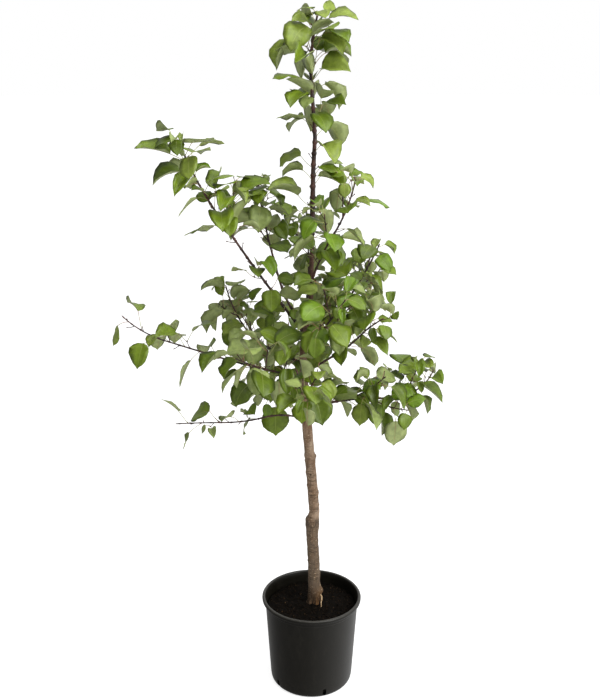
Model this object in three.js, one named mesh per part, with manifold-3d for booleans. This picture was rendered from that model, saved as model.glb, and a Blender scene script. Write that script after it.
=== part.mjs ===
// A young apricot tree in a black nursery pot, about 1.8 m tall with its pot.
// Millimetres, +Z up. The origin is the centre of the pot's underside, +X is to the right
// and +Y away from the viewer. Headings are degrees round +Z from +X, and a rise is degrees above level.

import * as THREE from "three";
import { mergeVertices } from "three/addons/utils/BufferGeometryUtils.js";
import Module from "manifold-3d";

const wasm = await Module();
wasm.setup();

// Driving dimensions
const CLEARANCE = 0.3; // gap between solids that touch

const POT = {
  height: 262,
  rimRadius: 140,
  lipHeight: 13,
  wallTopRadius: 129,
  wallFootRadius: 114,
  footRadius: 105,
  footBevel: 12,
  wall: 3,
  floor: 4,
  sides: 36,
  slots: 5,
  firstSlot: -54, // heading of the first drain slot, from the front
  slotWidth: 7,
  slotHeight: 19,
};

const SOIL_LEVEL = 233;

// The trunk and its leader: height, sideways place, depth and radius where its line or taper changes.
// The swelling between 440 and 528 is the graft. Above 1028 the leader is last year's growth.
const TRUNK_STATIONS = [
  [SOIL_LEVEL + CLEARANCE, 7, 0, 23],
  [252, 7.5, 0, 20],
  [280, 8, 0, 17.2],
  [371, 6, 2, 16.2],
  [440, 1.5, 2, 16],
  [496, 1, 0, 18.6],
  [512, 3, 0, 17.2],
  [528, 7, 0, 13.4],
  [615, 0, -3, 12.6],
  [756, -12, -3, 11.6],
  [847, -18, 0, 10.8],
  [930, -24.5, 2, 10.2],
  [1028, -22, 1, 9.2],
  [1060, -15, 0, 7.4],
  [1121, -5, 0, 6.2],
  [1290, -2, 3, 5.2],
  [1450, 0, 1, 4.2],
  [1530, 4, -1, 3.7],
  [1666, -5, 0, 3],
  [1712, -8, 2, 2.7],
  [1765, -1, 2, 2.3],
  [1812, 8, 0, 1.8],
];
const TRUNK_SIDES = 10;
const LEADER_SHOOT_START = 1290; // the leaves of the top shoot begin here

// Root flare: how far the lobes at the foot stand out, and how quickly they fade upwards
const FLARE = { lobes: 4, depth: 0.16, fade: 26, phase: 25 };

// Each limb leaves the trunk at a height. Heading and rise change evenly from value to value along
// its length. Its first stretch is a bare bough, and the rest is the stem of its leafy shoot.
const LIMBS = [
  { name: "left_high", at: 1033, heading: [191, 200, 208, 236], rise: [53, 55, 57, 62],
    length: 600, bare: 310, radius: [3.4, 1.5], twigs: 1, gap: [30, 24, 14], seed: 359 },
  { name: "left_middle", at: 890, heading: [182, 183, 183, 184, 188], rise: [30, 15, 19, 19, 47],
    length: 510, bare: 190, radius: [2.6, 1.2], twigs: 0, gap: [44, 40, 36], seed: 157 },
  { name: "left_low", at: 791, heading: [193, 188, 190, 191], rise: [29, -12, 4, 1],
    length: 350, bare: 60, radius: [2.2, 1.2], twigs: 0, gap: [60, 50, 26], seed: 451 },
  { name: "right_low", at: 803, heading: [12, 8, 3, 8, 23], rise: [40, 7, -2, 15, 66],
    length: 380, bare: 60, radius: [3.4, 1.4], twigs: 3, gap: [36, 26, 18], seed: 346 },
  { name: "left_inner", at: 1049, heading: [173, 144, 127, 110], rise: [46, 70, 68, 71],
    length: 410, bare: 200, radius: [3.0, 1.5], twigs: 2, gap: [29, 20, 14], seed: 170 },
  { name: "front_upright", at: 1046, heading: [260, 310, 334, 318], rise: [70, 66, 58, 76],
    length: 440, bare: 180, radius: [3.2, 1.5], twigs: 2, gap: [31, 23, 15], seed: 17 },
  { name: "right_high", at: 1009, heading: [6, 22, 32, 42], rise: [23, 50, 52, 56],
    length: 330, bare: 110, radius: [3.2, 1.5], twigs: 3, gap: [32, 25, 17], seed: 330 },
  { name: "right_middle", at: 921, heading: [352, 327, 304, 312], rise: [34, 36, 42, 32],
    length: 320, bare: 90, radius: [3.0, 1.4], twigs: 2, gap: [32, 25, 17], seed: 278 },
  { name: "back_left", at: 951, heading: [161, 157, 139, 116], rise: [13, 22, 48, 54],
    length: 320, bare: 80, radius: [3.0, 1.4], twigs: 3, gap: [29, 22, 15], seed: 457 },
  { name: "left_lower", at: 842, heading: [165, 159, 144], rise: [-2, 6, 28],
    length: 200, bare: 45, radius: [2.4, 1.3], twigs: 2, gap: [24, 20, 15], seed: 302 },
  { name: "front_left", at: 905, heading: [240, 226], rise: [26, 22, 30],
    length: 300, bare: 85, radius: [2.7, 1.3], twigs: 2, gap: [32, 25, 17], seed: 85 },
  { name: "front_low", at: 868, heading: [268, 276], rise: [28, 14, 10],
    length: 270, bare: 80, radius: [2.6, 1.3], twigs: 2, gap: [32, 25, 17], seed: 84 },
  { name: "front_right", at: 985, heading: [292, 300], rise: [34, 40, 46],
    length: 290, bare: 95, radius: [2.7, 1.3], twigs: 2, gap: [32, 25, 17], seed: 386 },
  { name: "back_right", at: 958, heading: [52, 62], rise: [30, 36, 40],
    length: 330, bare: 105, radius: [2.9, 1.4], twigs: 3, gap: [32, 25, 17], seed: 30 },
  { name: "back_upright", at: 1040, heading: [75, 92, 96], rise: [55, 64, 60],
    length: 330, bare: 115, radius: [2.9, 1.4], twigs: 2, gap: [32, 25, 17], seed: 464 },
  { name: "back_low", at: 852, heading: [104, 92], rise: [24, 14, 18],
    length: 370, bare: 110, radius: [2.9, 1.3], twigs: 3, gap: [34, 26, 18], seed: 165 },
];
const LEADER = { name: "leader", twigs: 0, gap: [58, 46, 22, 12, 8], seed: 39 };

// How a shoot puts out its twigs and leaves
const HABIT = {
  goldenTurn: 137.5, // degrees from one bud to the next round the stem
  twigAngle: 48,
  twigLift: 12,
  twigReach: 0.42, // of the leafy stem's length
  twigRadius: 1.8,
  tipRadius: 1.3,
  stalkAngle: 58,
  stalk: [30, 52],
  stalkRadius: 1.2,
  rootShare: 0.5, // the stalk's root inside its stem, as a share of its thickness
  blade: [66, 92],
  tipBlade: 0.6, // a leaf at the tip is this share of a full one
  tipZone: 45, // length of stem over which leaves shrink towards its tip
  droop: [5, 70], // degrees that the blade turns down from its stalk
  roll: 38,
  tries: 7,
};

// The blade's outline: place along it and half width, as shares of its length
const BLADE_RINGS = [
  [0, 0.018],
  [0.22, 0.38],
  [0.6, 0.38],
  [1, 0],
];
const BLADE_KEEL = 0.035; // depth of the keel under the midrib, as a share of the length
const BLADE_TROUGH = 0.16; // how far the edges stand above the midrib, as a share of the half width
const BLADE_CURL = 38; // degrees that the midrib turns down over the blade's length

const COLOURS = {
  pot: [0x1f1f1e, 0.45],
  soil: [0x17120e, 0.95],
  trunk: [0x7a6654, 0.85],
  bough: [0x47302a, 0.6],
  leaves: [0x5f8a35, 0.6],
};

// Small helpers

const radians = THREE.MathUtils.degToRad;
const UP = new THREE.Vector3(0, 0, 1);

// Values between 0 and 1 that depend only on the seed
function seeded(seed) {
  let state = seed * 7919 + 104729;
  return () => {
    state = (state * 16807) % 2147483647;
    return state / 2147483647;
  };
}

const between = (random, [low, high]) => low + (high - low) * random();

// A list's value at a share of the way along it
function along(list, share) {
  const place = Math.min(Math.max(share, 0), 1) * (list.length - 1);
  const index = Math.min(Math.floor(place), list.length - 2);
  return list[index] + (list[index + 1] - list[index]) * (place - index);
}

function direction(heading, rise) {
  const level = Math.cos(radians(rise));
  return new THREE.Vector3(
    Math.cos(radians(heading)) * level,
    Math.sin(radians(heading)) * level,
    Math.sin(radians(rise)),
  );
}

function solidOf(geometry) {
  const bare = geometry.clone();
  bare.deleteAttribute("normal");
  bare.deleteAttribute("uv");
  const merged = mergeVertices(bare, 1e-5);
  return new wasm.Manifold(
    new wasm.Mesh({
      numProp: 3,
      vertProperties: merged.attributes.position.array,
      triVerts: new Uint32Array(merged.index.array),
    }),
  );
}

function geometryOf(solid) {
  const mesh = solid.getMesh();
  const geometry = new THREE.BufferGeometry();
  geometry.setAttribute("position", new THREE.BufferAttribute(mesh.vertProperties, 3));
  geometry.setIndex(new THREE.BufferAttribute(mesh.triVerts, 1));
  geometry.computeVertexNormals();
  return geometry;
}

function material([colour, roughness]) {
  return new THREE.MeshStandardMaterial({ color: colour, roughness, metalness: 0 });
}

const tree = new THREE.Group();
tree.name = "potted_apricot_tree";

function addNode(name, geometry, look) {
  const mesh = new THREE.Mesh(geometry, material(look));
  mesh.name = name;
  tree.add(mesh);
}

// Pot and soil

function potProfile() {
  const { height, lipHeight, rimRadius, wallTopRadius, wallFootRadius, footRadius } = POT;
  const { footBevel, wall, floor } = POT;
  const inner = wallTopRadius - wall;
  const lipFoot = height - lipHeight;
  return [
    [0, 0],
    [footRadius, 0],
    [wallFootRadius - 2, footBevel * 0.6],
    [wallFootRadius, footBevel * 1.6],
    [wallTopRadius, lipFoot],
    [rimRadius - 1, lipFoot],
    [rimRadius, height - 5],
    [rimRadius - 3, height],
    [wallTopRadius + 2, height],
    [inner, height - 4],
    [wallFootRadius - wall, footBevel * 1.6],
    [footRadius - wall, floor],
    [0, floor],
  ].map(([r, z]) => new THREE.Vector2(r, z));
}

// A lathe turns round +Y, so its shape is stood up along +Z.
function turned(profile) {
  return new THREE.LatheGeometry(profile, POT.sides).rotateX(Math.PI / 2);
}

function drainSlots() {
  const reach = 16;
  const slots = [];
  for (let i = 0; i < POT.slots; i += 1) {
    const heading = radians(-90 + POT.firstSlot + (i * 360) / POT.slots);
    const box = new THREE.BoxGeometry(reach * 2, POT.slotWidth, POT.slotHeight * 2);
    box.translate(POT.footRadius + 4, 0, 0);
    slots.push(solidOf(box.rotateZ(heading)));
  }
  return slots;
}

function makePot() {
  const shell = solidOf(turned(potProfile()));
  return drainSlots().reduce((left, slot) => left.subtract(slot), shell);
}

function innerRadius(z) {
  const low = POT.footBevel * 1.6;
  const high = POT.height - 4;
  const share = (z - low) / (high - low);
  const foot = POT.wallFootRadius - POT.wall;
  return foot + (POT.wallTopRadius - POT.wall - foot) * share;
}

// The soil is flat where the trunk stands and falls a little towards the wall.
function makeSoil() {
  const base = POT.floor + CLEARANCE;
  const low = POT.footBevel * 1.6;
  const shoulder = SOIL_LEVEL - 7;
  const profile = [
    [0, base],
    [POT.footRadius - POT.wall - 2 * CLEARANCE, base],
    [innerRadius(low) - 2 * CLEARANCE, low],
    [innerRadius(shoulder) - 2 * CLEARANCE, shoulder],
    [innerRadius(shoulder) - 22, SOIL_LEVEL - 2],
    [62, SOIL_LEVEL],
    [0, SOIL_LEVEL],
  ].map(([r, z]) => new THREE.Vector2(r, z));
  return turned(profile);
}

// Limbs are cones and cylinders of many rings, with each ring moved to its own place.

// Rings are spread along the path, and the side directions are carried along it without twist.
function carryFrames(points) {
  const frames = [];
  let side = new THREE.Vector3(1, 0, 0);
  points.forEach((point, i) => {
    const before = points[Math.max(i - 1, 0)];
    const after = points[Math.min(i + 1, points.length - 1)];
    const tangent = after.clone().sub(before).normalize();
    if (i === 0 && Math.abs(tangent.x) > 0.8) side.set(0, 1, 0);
    side = side.clone().addScaledVector(tangent, -side.dot(tangent)).normalize();
    frames.push({ point, tangent, side, across: tangent.clone().cross(side) });
  });
  return frames;
}

function limbGeometry(frames, radii, sides) {
  const steps = frames.length - 1;
  const geometry = new THREE.CylinderGeometry(1, 1, 1, sides, steps);
  const position = geometry.attributes.position;
  for (let i = 0; i < position.count; i += 1) {
    const ring = Math.round((position.getY(i) + 0.5) * steps);
    const { point, side, across } = frames[ring];
    const moved = point.clone();
    moved.addScaledVector(side, position.getZ(i) * radii[ring]);
    moved.addScaledVector(across, position.getX(i) * radii[ring]);
    position.setXYZ(i, moved.x, moved.y, moved.z);
  }
  return geometry;
}

// The trunk's axis and radius at a height
function trunkAt(z) {
  let i = 0;
  while (i < TRUNK_STATIONS.length - 2 && TRUNK_STATIONS[i + 1][0] < z) i += 1;
  const [z0, x0, y0, r0] = TRUNK_STATIONS[i];
  const [z1, x1, y1, r1] = TRUNK_STATIONS[i + 1];
  const share = Math.min(Math.max((z - z0) / (z1 - z0), 0), 1);
  return {
    point: new THREE.Vector3(x0 + (x1 - x0) * share, y0 + (y1 - y0) * share, z),
    radius: r0 + (r1 - r0) * share,
  };
}

// Level rings, so that the foot is a flat cut. The lobes of the root flare fade upwards.
function trunkGeometry(heights, extra) {
  const steps = heights.length - 1;
  const geometry = new THREE.CylinderGeometry(1, 1, 1, TRUNK_SIDES, steps);
  geometry.rotateX(Math.PI / 2);
  const position = geometry.attributes.position;
  for (let i = 0; i < position.count; i += 1) {
    const x = position.getX(i);
    const y = position.getY(i);
    const z = heights[Math.round((position.getZ(i) + 0.5) * steps)];
    const { point, radius } = trunkAt(z);
    const turn = Math.atan2(y, x) - radians(FLARE.phase);
    const fade = Math.exp((SOIL_LEVEL - z) / FLARE.fade);
    const flare = 1 + FLARE.depth * fade * Math.cos(FLARE.lobes * turn);
    const r = radius * flare + extra;
    position.setXYZ(i, point.x + x * r, point.y + y * r, z);
  }
  return geometry;
}

const trunkHeights = TRUNK_STATIONS.map(([z]) => z).filter((z) => z <= LEADER_SHOOT_START);
const trunkSolid = solidOf(trunkGeometry(trunkHeights, 0));
const trunkCutter = solidOf(trunkGeometry(trunkHeights, CLEARANCE));

// A limb's path, as points a step apart from the trunk's axis to its tip
const STEP = 10;
const STEM_RINGS = 4; // steps between the rings of a leafy stem
const BOUGH_RINGS = 3; // steps between the rings of a bare bough

function limbPath({ at, heading, rise, length }) {
  const steps = Math.round(length / STEP);
  const points = [trunkAt(at).point];
  for (let i = 0; i < steps; i += 1) {
    const share = (i + 0.5) / steps;
    const ahead = direction(along(heading, share), along(rise, share));
    points.push(points[i].clone().addScaledVector(ahead, length / steps));
  }
  return points;
}

function leaderPath() {
  const top = TRUNK_STATIONS[TRUNK_STATIONS.length - 1][0];
  const start = LEADER_SHOOT_START + CLEARANCE;
  const steps = Math.round((top - start) / STEP);
  return Array.from({ length: steps + 1 }, (_, i) => trunkAt(start + ((top - start) * i) / steps).point);
}

// A path keeps its first and last points and every so many between.
function thinned(list, every) {
  return list.filter((_, i) => i === list.length - 1 || (i % every === 0 && list.length - 1 - i > every / 2));
}

// Where things already are, so that each new leaf keeps clear of them

const beads = []; // balls that stand for the leaves placed so far
const rods = []; // straight stretches of limbs and twigs

function addRods(frames, radii, owner) {
  for (let i = 0; i + 1 < frames.length; i += 1)
    rods.push({ a: frames[i].point, b: frames[i + 1].point, r: Math.max(radii[i], radii[i + 1]), owner });
}

function distanceToRod(p, { a, b }) {
  const ab = b.clone().sub(a);
  const share = Math.min(Math.max(p.clone().sub(a).dot(ab) / ab.lengthSq(), 0), 1);
  return a.clone().addScaledVector(ab, share).distanceTo(p);
}

const AIR = { between: 1.0, sameShoot: 0.85, rod: 3 };

function isClear(candidate, owner, shoot) {
  for (const bead of candidate) {
    for (const other of beads) {
      const share = other.shoot === shoot ? AIR.sameShoot : AIR.between;
      if (bead.p.distanceTo(other.p) < (bead.r + other.r) * share) return false;
    }
    for (const rod of rods) {
      if (rod.owner === owner && bead.nearRoot) continue;
      if (distanceToRod(bead.p, rod) < bead.r * 0.5 + rod.r + AIR.rod) return false;
    }
  }
  return true;
}

// Leaves

// The blade's own directions: ahead along the midrib, side across it and face out of its upper side
function bladeFrame(ahead, roll) {
  const face = UP.clone().addScaledVector(ahead, -UP.dot(ahead)).normalize();
  face.applyAxisAngle(ahead, radians(roll));
  return { ahead, face, side: face.clone().cross(ahead) };
}

// A direction turned down by some degrees
function lowered(ahead, angle) {
  const rise = Math.asin(ahead.z) - radians(angle);
  const level = new THREE.Vector3(ahead.x, ahead.y, 0).normalize();
  return level.multiplyScalar(Math.cos(rise)).addScaledVector(UP, Math.sin(rise));
}

// One leaf from its drawn values: the line of its stalk, then the line of its midrib, which curls down
function leafShape(root, out, values) {
  const { stalk, blade, droop, roll } = values;
  const base = root.clone().addScaledVector(out, stalk);
  let ahead = lowered(out, droop);
  const rings = [];
  let point = base;
  BLADE_RINGS.forEach(([place, half], i) => {
    if (i > 0) {
      const step = place - BLADE_RINGS[i - 1][0];
      if (ahead.z > -0.9) ahead = lowered(ahead, BLADE_CURL * step);
      point = point.clone().addScaledVector(ahead, step * blade);
    }
    rings.push({ point, half: half * blade, ...bladeFrame(ahead, roll) });
  });
  Object.assign(rings[0], bladeFrame(out.clone().add(rings[0].ahead).normalize(), roll));
  return { root, base, blade, rings };
}

// Balls spread over a leaf: two on its stalk, three across each wide place and one near its tip
function leafBeads({ root, base, blade, rings }) {
  const r = blade * 0.12;
  const [, low, high, tip] = rings;
  const made = [
    { p: root.clone().lerp(base, 0.45), r: 2.5, nearRoot: true },
    { p: root.clone().lerp(base, 0.85), r: 3.5, nearRoot: true },
    { p: high.point.clone().lerp(tip.point, 0.6), r: r * 0.8 },
  ];
  for (const { point, half, side } of [low, high])
    for (const share of [-0.68, 0, 0.68])
      made.push({ p: point.clone().addScaledVector(side, share * half), r });
  return made;
}

// A three-sided cone whose rings are the stalk's root, the blade's base, its two wide places and its tip.
// Two corners of each ring are the blade's edges, and the third is the keel under its midrib.
function leafSolid({ root, blade, rings }) {
  const geometry = new THREE.ConeGeometry(1, 1, 3, rings.length);
  const position = geometry.attributes.position;
  const edge = Math.sin(radians(60));
  const stalk = HABIT.stalkRadius;
  const sections = [
    { ...rings[0], point: root, half: stalk * HABIT.rootShare, rise: 0.6, keel: stalk * HABIT.rootShare },
    { ...rings[0], half: stalk, rise: 0.6, keel: stalk },
    ...rings.slice(1).map((ring) => ({ ...ring, rise: BLADE_TROUGH, keel: blade * BLADE_KEEL })),
  ];
  for (let i = 0; i < position.count; i += 1) {
    const index = Math.round((position.getY(i) + 0.5) * rings.length);
    const { point, half, rise, keel, side, face } = sections[index];
    const moved = point.clone();
    if (index < rings.length) {
      const scale = rings.length / (rings.length - index);
      const x = (position.getX(i) * scale) / edge;
      moved.addScaledVector(side, x * half);
      moved.addScaledVector(face, Math.abs(x) * half * rise);
      if (position.getZ(i) > 1e-6) moved.addScaledVector(face, -keel);
    }
    position.setXYZ(i, moved.x, moved.y, moved.z);
  }
  return solidOf(geometry);
}

// A leafy shoot: a stem with twigs, and leaves along them all

function stemRadii(frames, [first, last]) {
  return frames.map((_, i) => first + ((last - first) * i) / (frames.length - 1));
}

function twigFrames(start, ahead, length) {
  const steps = 4;
  const points = [start];
  const heading = ahead.clone();
  for (let i = 0; i < steps; i += 1) {
    heading.addScaledVector(UP, Math.sin(radians(HABIT.twigLift)) / 2).normalize();
    points.push(points[i].clone().addScaledVector(heading, length / steps));
  }
  return carryFrames(points);
}

function pathLength(frames) {
  let total = 0;
  for (let i = 1; i < frames.length; i += 1) total += frames[i].point.distanceTo(frames[i - 1].point);
  return total;
}

// The point and the directions at a distance along a path
function stationAt(frames, distance) {
  const stretch = (i) => frames[i + 1].point.distanceTo(frames[i].point);
  let left = distance;
  let i = 0;
  while (i < frames.length - 2 && left > stretch(i)) {
    left -= stretch(i);
    i += 1;
  }
  const share = Math.min(left / stretch(i), 1);
  return { ...frames[i], point: frames[i].point.clone().lerp(frames[i + 1].point, share) };
}

function sideways({ tangent, side, across }, turn, angle) {
  const out = side.clone().multiplyScalar(Math.cos(radians(turn)));
  out.addScaledVector(across, Math.sin(radians(turn)));
  out.multiplyScalar(Math.sin(radians(angle)));
  return out.addScaledVector(tangent, Math.cos(radians(angle))).normalize();
}

// Twigs leave the stem at even places, each turned on from the last, and one that is not clear is skipped.
function growTwigs(shoot, stem, count, random) {
  const reach = pathLength(stem);
  const twigs = [];
  for (let i = 0; i < count; i += 1) {
    const share = 0.12 + (0.62 * (i + random() * 0.7)) / count;
    const station = stationAt(stem, reach * share);
    const length = reach * HABIT.twigReach * (1.1 - 0.5 * share) * (0.8 + 0.4 * random());
    let turn = random() * 360;
    for (let attempt = 0; attempt < HABIT.tries; attempt += 1) {
      const ahead = sideways(station, turn, HABIT.twigAngle);
      const frames = twigFrames(station.point, ahead, length);
      const probe = frames.slice(1).map(({ point }) => ({ p: point, r: 5, nearRoot: true }));
      if (isClear(probe, shoot, shoot)) {
        const radii = stemRadii(frames, [HABIT.twigRadius, HABIT.tipRadius]);
        twigs.push({ frames, radii, owner: shoot + "/" + i });
        addRods(frames, radii, shoot + "/" + i);
        break;
      }
      turn += HABIT.goldenTurn;
    }
  }
  return twigs;
}

// Leaves stand along a stem with gaps that close towards its tip, and the last one ends it.
function growLeaves(shoot, { frames, owner }, { gap }, random) {
  const reach = pathLength(frames);
  const leaves = [];
  let turn = random() * 360;
  let distance = Math.min(12, reach * 0.2);
  while (distance < reach) {
    const share = distance / reach;
    const station = stationAt(frames, distance);
    const young = Math.min((reach - distance) / HABIT.tipZone, 1);
    const size = HABIT.tipBlade + (1 - HABIT.tipBlade) * young;
    for (let attempt = 0; attempt < HABIT.tries; attempt += 1) {
      const out = sideways(station, turn + (random() - 0.5) * 50, HABIT.stalkAngle * (0.75 + 0.5 * random()));
      out.addScaledVector(UP, 0.25).normalize();
      const shrink = size * (1 - 0.05 * attempt);
      const values = {
        stalk: between(random, HABIT.stalk) * shrink,
        blade: between(random, HABIT.blade) * shrink,
        droop: between(random, HABIT.droop),
        roll: (random() * 2 - 1) * HABIT.roll,
      };
      const leaf = leafShape(station.point, out, values);
      const balls = leafBeads(leaf).map((ball) => ({ ...ball, shoot }));
      if (isClear(balls, owner, shoot)) {
        leaves.push(leaf);
        beads.push(...balls);
        break;
      }
      turn += 40;
    }
    turn += HABIT.goldenTurn;
    distance += along(gap, share);
  }
  return leaves;
}

// All limbs take their places before any leaf does.
const shoots = [];

function addShoot(limb, stem, radii) {
  addRods(stem, radii, limb.name);
  shoots.push({ limb, stem, radii, random: seeded(limb.seed) });
}

const trunkFrames = carryFrames(trunkHeights.map((z) => trunkAt(z).point));
addRods(trunkFrames, trunkHeights.map((z) => trunkAt(z).radius), "trunk");
const leader = thinned(carryFrames(leaderPath()), STEM_RINGS);
addShoot(LEADER, leader, leader.map(({ point }) => trunkAt(point.z).radius));

// Where a stem meets its bough their ends are parallel, the clearance apart.
const boughs = LIMBS.map((limb) => {
  const frames = carryFrames(limbPath(limb));
  const radii = stemRadii(frames, limb.radius);
  const split = Math.round(limb.bare / STEP);
  const bare = { name: limb.name, frames: frames.slice(0, split + 1), radii: radii.slice(0, split + 1) };
  const stem = thinned(frames.slice(split), STEM_RINGS);
  const { point, tangent } = stem[0];
  stem[0] = { ...stem[0], point: point.clone().addScaledVector(tangent, CLEARANCE) };
  addRods(bare.frames, bare.radii, limb.name + "/bough");
  addShoot(limb, stem, thinned(radii.slice(split), STEM_RINGS));
  return bare;
});

for (const shoot of shoots) {
  const { limb, stem, radii, random } = shoot;
  const main = { frames: stem, radii, owner: limb.name };
  shoot.twigs = [main, ...growTwigs(limb.name, stem, limb.twigs, random)];
  for (const twig of shoot.twigs) twig.leaves = growLeaves(limb.name, twig, limb, random);
}

// The solids, each kept clear of the ones before it
const placed = [];

function place(name, solid, look) {
  placed.push(solid);
  addNode(name, geometryOf(solid), look);
}

const keepsClear = (solid) => placed.every((other) => solid.minGap(other, 2 * CLEARANCE) >= CLEARANCE);

place("pot", makePot(), COLOURS.pot);
place("soil", solidOf(makeSoil()), COLOURS.soil);
place("trunk", trunkSolid, COLOURS.trunk);
for (const { name, frames, radii } of boughs) {
  const bough = solidOf(limbGeometry(thinned(frames, BOUGH_RINGS), thinned(radii, BOUGH_RINGS), 5));
  place("bough_" + name, bough.subtract(trunkCutter), COLOURS.bough);
}
for (const { limb, twigs } of shoots) {
  const pieces = [];
  twigs.forEach(({ frames, radii, leaves }, i) => {
    const wood = solidOf(limbGeometry(frames, radii, i ? 3 : 4));
    if (i && !keepsClear(wood)) return;
    pieces.push(wood, ...leaves.map(leafSolid).filter(keepsClear));
  });
  place("leaves_" + limb.name, wasm.Manifold.union(pieces), COLOURS.leaves);
}

export default tree;
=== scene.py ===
import math

import bmesh
import bpy
import numpy as np
from mathutils import Matrix, Vector, noise


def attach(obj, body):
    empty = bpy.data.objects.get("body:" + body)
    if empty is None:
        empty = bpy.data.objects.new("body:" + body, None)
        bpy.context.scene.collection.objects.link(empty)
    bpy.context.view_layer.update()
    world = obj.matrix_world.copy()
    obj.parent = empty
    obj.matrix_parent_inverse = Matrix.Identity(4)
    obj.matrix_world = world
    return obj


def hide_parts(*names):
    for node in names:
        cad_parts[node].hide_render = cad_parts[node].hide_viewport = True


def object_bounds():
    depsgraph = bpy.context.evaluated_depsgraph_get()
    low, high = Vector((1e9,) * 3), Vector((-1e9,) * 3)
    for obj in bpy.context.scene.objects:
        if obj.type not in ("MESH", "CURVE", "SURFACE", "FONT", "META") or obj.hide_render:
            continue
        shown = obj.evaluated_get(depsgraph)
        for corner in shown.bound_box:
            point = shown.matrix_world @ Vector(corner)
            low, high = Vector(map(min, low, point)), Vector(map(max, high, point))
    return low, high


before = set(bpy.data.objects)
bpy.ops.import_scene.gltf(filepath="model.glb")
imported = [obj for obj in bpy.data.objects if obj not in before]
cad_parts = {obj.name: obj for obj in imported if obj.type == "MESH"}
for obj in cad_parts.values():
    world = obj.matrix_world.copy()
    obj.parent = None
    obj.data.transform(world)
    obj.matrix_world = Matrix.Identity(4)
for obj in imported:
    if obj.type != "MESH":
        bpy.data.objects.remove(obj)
cad_low, cad_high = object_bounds()

# Camera and studio
# The photograph looks down a little at the whole tree in front of pure white. A pale floor, a white
# surround and soft lamps stand in for that studio, and none of it is part of the object. The
# surround looks white all round, but its light comes mostly from the right, as in the photograph.
CAMERA_PLACE = (-0.0326, -2.4, 1.73)
CAMERA_DOWN = 17.2  # degrees below level
IMAGE_HEIGHT = 700  # pixels
FOCAL_LENGTH = 962  # pixels
SENSOR = 36
SURROUND_DARK = 0.16
SURROUND_BRIGHT = 1.0
BRIGHT_SIDE = (0.86, 0.37, 0.34)
FLOOR_COLOUR = (0.5, 0.5, 0.5, 1)
FLOOR_GLOW = 0.78
FLOOR_RADIUS = 40
FLOOR_SIDES = 96
LAMP_SIZE = 1.6
LAMP_TARGET = Vector((0, 0, 1.1))
# Each lamp's place and power
LAMPS = {
    "lamp_right": ((2.1, -1.8, 2.4), 72),
    "lamp_left": ((-2.2, -2.2, 2.2), 4),
    "lamp_top": ((0.2, -0.8, 3.6), 44),
}


def add_to_scene(name, data):
    piece = bpy.data.objects.new(name, data)
    bpy.context.scene.collection.objects.link(piece)
    return piece


camera = add_to_scene("camera", bpy.data.cameras.new("camera"))
camera.data.sensor_width = SENSOR
camera.data.lens = SENSOR * FOCAL_LENGTH / IMAGE_HEIGHT
camera.location = CAMERA_PLACE
camera.rotation_euler = (math.radians(90 - CAMERA_DOWN), 0, 0)
bpy.context.scene.camera = camera
bpy.context.scene.view_settings.view_transform = "Standard"

for name, (place, power) in LAMPS.items():
    lamp = add_to_scene(name, bpy.data.lights.new(name, "AREA"))
    lamp.data.size = LAMP_SIZE
    lamp.data.energy = power
    lamp.location = place
    lamp.rotation_euler = (LAMP_TARGET - lamp.location).to_track_quat("-Z", "Y").to_euler()
    lamp.visible_camera = False


class Wire:
    """A value that runs through a node tree, so that shader maths reads as ordinary sums"""

    def __init__(self, graph, socket):
        self.graph = graph
        self.socket = socket

    def sum(self, operation, *values):
        return self.graph.node("Math", {"operation": operation}, dict(enumerate(values)))

    def __add__(self, other):
        return self.sum("ADD", self, other)

    def __sub__(self, other):
        return self.sum("SUBTRACT", self, other)

    def __rsub__(self, other):
        return self.sum("SUBTRACT", other, self)

    def __mul__(self, other):
        return self.sum("MULTIPLY", self, other)

    __radd__ = __add__
    __rmul__ = __mul__

    def __abs__(self):
        return self.sum("ABSOLUTE", self)

    def __or__(self, other):
        """The larger of two values"""
        return self.sum("MAXIMUM", self, other)

    def zigzag(self, top):
        """Up to top and down to 0 again, over and over"""
        return self.sum("PINGPONG", self, top)

    def between(self, low, high):
        """0 below low, 1 above high, and a smooth rise from one to the other"""
        spread = {"interpolation_type": "SMOOTHSTEP"}
        return self.graph.node("MapRange", spread, {"Value": self, "From Min": low, "From Max": high})


class Graph:
    """A node tree that is built node by node"""

    def __init__(self, tree):
        self.tree = tree

    def feed(self, socket, value):
        if isinstance(value, Wire):
            self.tree.links.new(value.socket, socket)
        else:
            socket.default_value = value

    def node(self, kind, settings, inputs, output=0):
        made = self.tree.nodes.new("ShaderNode" + kind)
        for name, value in settings.items():
            setattr(made, name, value)
        for name, value in inputs.items():
            self.feed(made.inputs[name], value)
        return Wire(self, made.outputs[output])


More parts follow.
